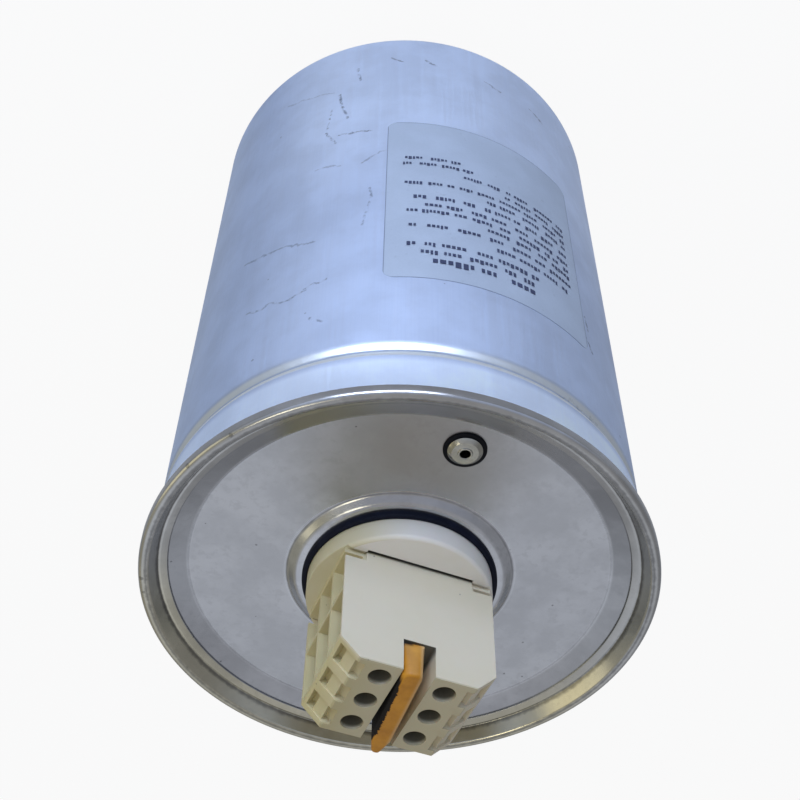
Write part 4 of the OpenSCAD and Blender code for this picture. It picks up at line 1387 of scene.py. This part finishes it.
class CAPACITOR_OT_stage(bpy.types.Operator):
    """Floor, soft lamps, world and camera"""

    bl_idname = "capacitor.stage"
    bl_label = "Stage"

    floor_size = 12
    floor_colour = (0.5, 0.51, 0.53, 1)

    # Share of white that the camera sees, and that metal mirrors
    whiteness = 0.93
    mirrored = 0.1

    # Surroundings: direction of the bluish front, and colours
    front_turn = math.radians(19)
    front_colour = (0.56, 0.66, 0.9)
    side_colours = ((0.2, 0.2, 0.21), (0.3, 0.27, 0.17))
    rear_colours = ((0.28, 0.28, 0.29), (0.66, 0.68, 0.72))
    top_colour = (0.46, 0.46, 0.48)

    # Lamps: place and size in metres, and colour
    lamps = {
        "key": ((0.35, -0.7, 0.15), 0.5, (0.65, 0.74, 0.97)),
        "fill": ((1.25, 0.4, 0.6), 0.8, (1.0, 0.88, 0.56)),
        "glint": ((0.62, -0.02, 1.3), 0.3, (1.0, 0.9, 0.64)),
    }

    # Camera: picture in pixels, sensor in millimetres, clipping in metres
    picture_width = 800
    sensor_width = 36
    clip = (0.01, 50)

    def execute(self, context):
        stage = context.scene.capacitor.stage
        self.floor()
        self.world(stage.azimuth)
        for name, (where, size, colour) in self.lamps.items():
            self.lamp(f"{name}_lamp", getattr(stage, f"{name}_power"), where, size, colour)
        self.camera(stage)
        context.scene.view_settings.view_transform = "Standard"
        return {"FINISHED"}

    def floor(self):
        """Pale floor that stays white to the camera and keeps the shadow."""
        bm = bmesh.new()
        bmesh.ops.create_grid(bm, x_segments=1, y_segments=1, size=self.floor_size / 2)
        place(bm, 0, 0, CAD_BOX[0].z)
        obj = new_object("floor", bm)
        material = bpy.data.materials.new("pale_floor")
        material.use_nodes = True
        material.node_tree.nodes.clear()
        shader = Shader(material.node_tree)
        matt = shader.node("ShaderNodeBsdfDiffuse")
        matt.inputs["Color"].default_value = self.floor_colour
        both = shader.node("ShaderNodeMixShader")
        shader.put(both.inputs[0], self.background(shader))
        shader.put(both.inputs[1], matt.outputs[0])
        shader.put(both.inputs[2], shader.node("ShaderNodeEmission").outputs[0])
        shader.put(shader.node("ShaderNodeOutputMaterial").inputs[0], both.outputs[0])
        obj.data.materials.append(material)

    def background(self, shader):
        """Share of white in floor and world: full for the camera, slight for what mirrors them."""
        rays = shader.node("ShaderNodeLightPath").outputs
        mirrors = shader.most(rays["Is Glossy Ray"], rays["Is Transmission Ray"])
        seen = shader.times(rays["Is Camera Ray"], self.whiteness)
        return shader.most(seen, shader.times(mirrors, self.mirrored))

    def world(self, azimuth):
        """Surroundings, pale behind the object, bluish in front and dim at its sides."""
        world = bpy.data.worlds.new("soft surroundings")
        world.use_nodes = True
        bpy.context.scene.world = world
        shader = Shader(world.node_tree)
        x, y, z = shader.split(shader.node("ShaderNodeTexCoord").outputs["Generated"])
        facing = shader.minus(
            shader.times(x, math.sin(self.front_turn)), shader.times(y, math.cos(self.front_turn))
        )
        across = shader.plus(shader.times(x, math.cos(azimuth)), shader.times(y, math.sin(azimuth)))
        rear = shader.times(shader.step(y, 0.25, 0.7), shader.step(across, 0.3, 0.65, 1.0, 0.2))
        behind = shader.mix(shader.step(z, 0.34, 0.72), *self.rear_colours)
        side = shader.mix(shader.step(across, -0.1, 0.8), *self.side_colours)
        colour = shader.mix(shader.step(facing, 0.0, 0.95), side, self.front_colour)
        colour = shader.mix(rear, colour, behind)
        colour = shader.mix(shader.step(z, 0.6, 1.0), colour, self.top_colour)
        colour = shader.mix(self.background(shader), colour, (1, 1, 1))
        shader.put(world.node_tree.nodes["Background"].inputs["Color"], colour)

    def lamp(self, name, power, where, size, colour):
        """Square soft lamp that points at the object's middle."""
        data = bpy.data.lights.new(name, "AREA")
        data.energy = power
        data.size = size
        data.color = colour
        obj = bpy.data.objects.new(name, data)
        bpy.context.scene.collection.objects.link(obj)
        obj.location = where
        middle = (CAD_BOX[0] + CAD_BOX[1]) / 2
        obj.rotation_euler = (middle - Vector(where)).to_track_quat("-Z", "Y").to_euler()

    def camera(self, stage):
        """Camera at the photograph's viewing angle, which shows the can upside down."""
        data = bpy.data.cameras.new("camera")
        data.sensor_width = self.sensor_width
        data.lens = stage.focal * self.sensor_width / self.picture_width
        data.clip_start, data.clip_end = self.clip
        obj = bpy.data.objects.new("camera", data)
        bpy.context.scene.collection.objects.link(obj)
        back = Vector((0, -math.cos(stage.elevation), math.sin(stage.elevation)))
        level = Vector((1, 0, 0))
        rise = back.cross(level)
        right = math.cos(stage.roll) * level + math.sin(stage.roll) * rise
        above = -math.sin(stage.roll) * level + math.cos(stage.roll) * rise
        aim = Vector((0, 0, LID_HIGH.z))
        step = stage.distance / stage.focal
        where = aim + back * stage.distance
        where -= (right * stage.offset_x + above * stage.offset_y) * step
        turn = Matrix.Rotation(stage.azimuth, 4, "Z")
        axes = Matrix((right, above, back)).transposed().to_4x4()
        obj.matrix_world = turn @ Matrix.Translation(where) @ axes
        bpy.context.scene.camera = obj


PIECES = (
    CAPACITOR_OT_can,
    CAPACITOR_OT_stud,
    CAPACITOR_OT_lid,
    CAPACITOR_OT_seal,
    CAPACITOR_OT_plug,
    CAPACITOR_OT_mouldings,
    CAPACITOR_OT_resistor,
    CAPACITOR_OT_label,
    CAPACITOR_OT_inner,
    CAPACITOR_OT_stage,
)


class CAPACITOR_PT_panel(bpy.types.Panel):
    """Lists the pieces in the sidebar"""

    bl_label = "Capacitor"
    bl_space_type = "VIEW_3D"
    bl_region_type = "UI"
    bl_category = "Capacitor"

    def draw(self, context):
        for operator in PIECES:
            self.layout.operator(operator.bl_idname)


CLASSES = (
    CanSettings,
    LidSettings,
    PlugSettings,
    TerminalSettings,
    LabelSettings,
    StageSettings,
    CapacitorSettings,
    *PIECES,
    CAPACITOR_PT_panel,
)


def register():
    """Makes the settings, operators and panel known."""
    for entry in CLASSES:
        bpy.utils.register_class(entry)
    bpy.types.Scene.capacitor = PointerProperty(type=CapacitorSettings)


def unregister():
    """Takes the settings, operators and panel away again."""
    del bpy.types.Scene.capacitor
    for entry in reversed(CLASSES):
        bpy.utils.unregister_class(entry)


def main():
    """Builds all pieces and the stage."""
    register()
    for operator in PIECES:
        getattr(bpy.ops.capacitor, operator.bl_idname.split(".")[1])()


if __name__ == "__main__":
    main()
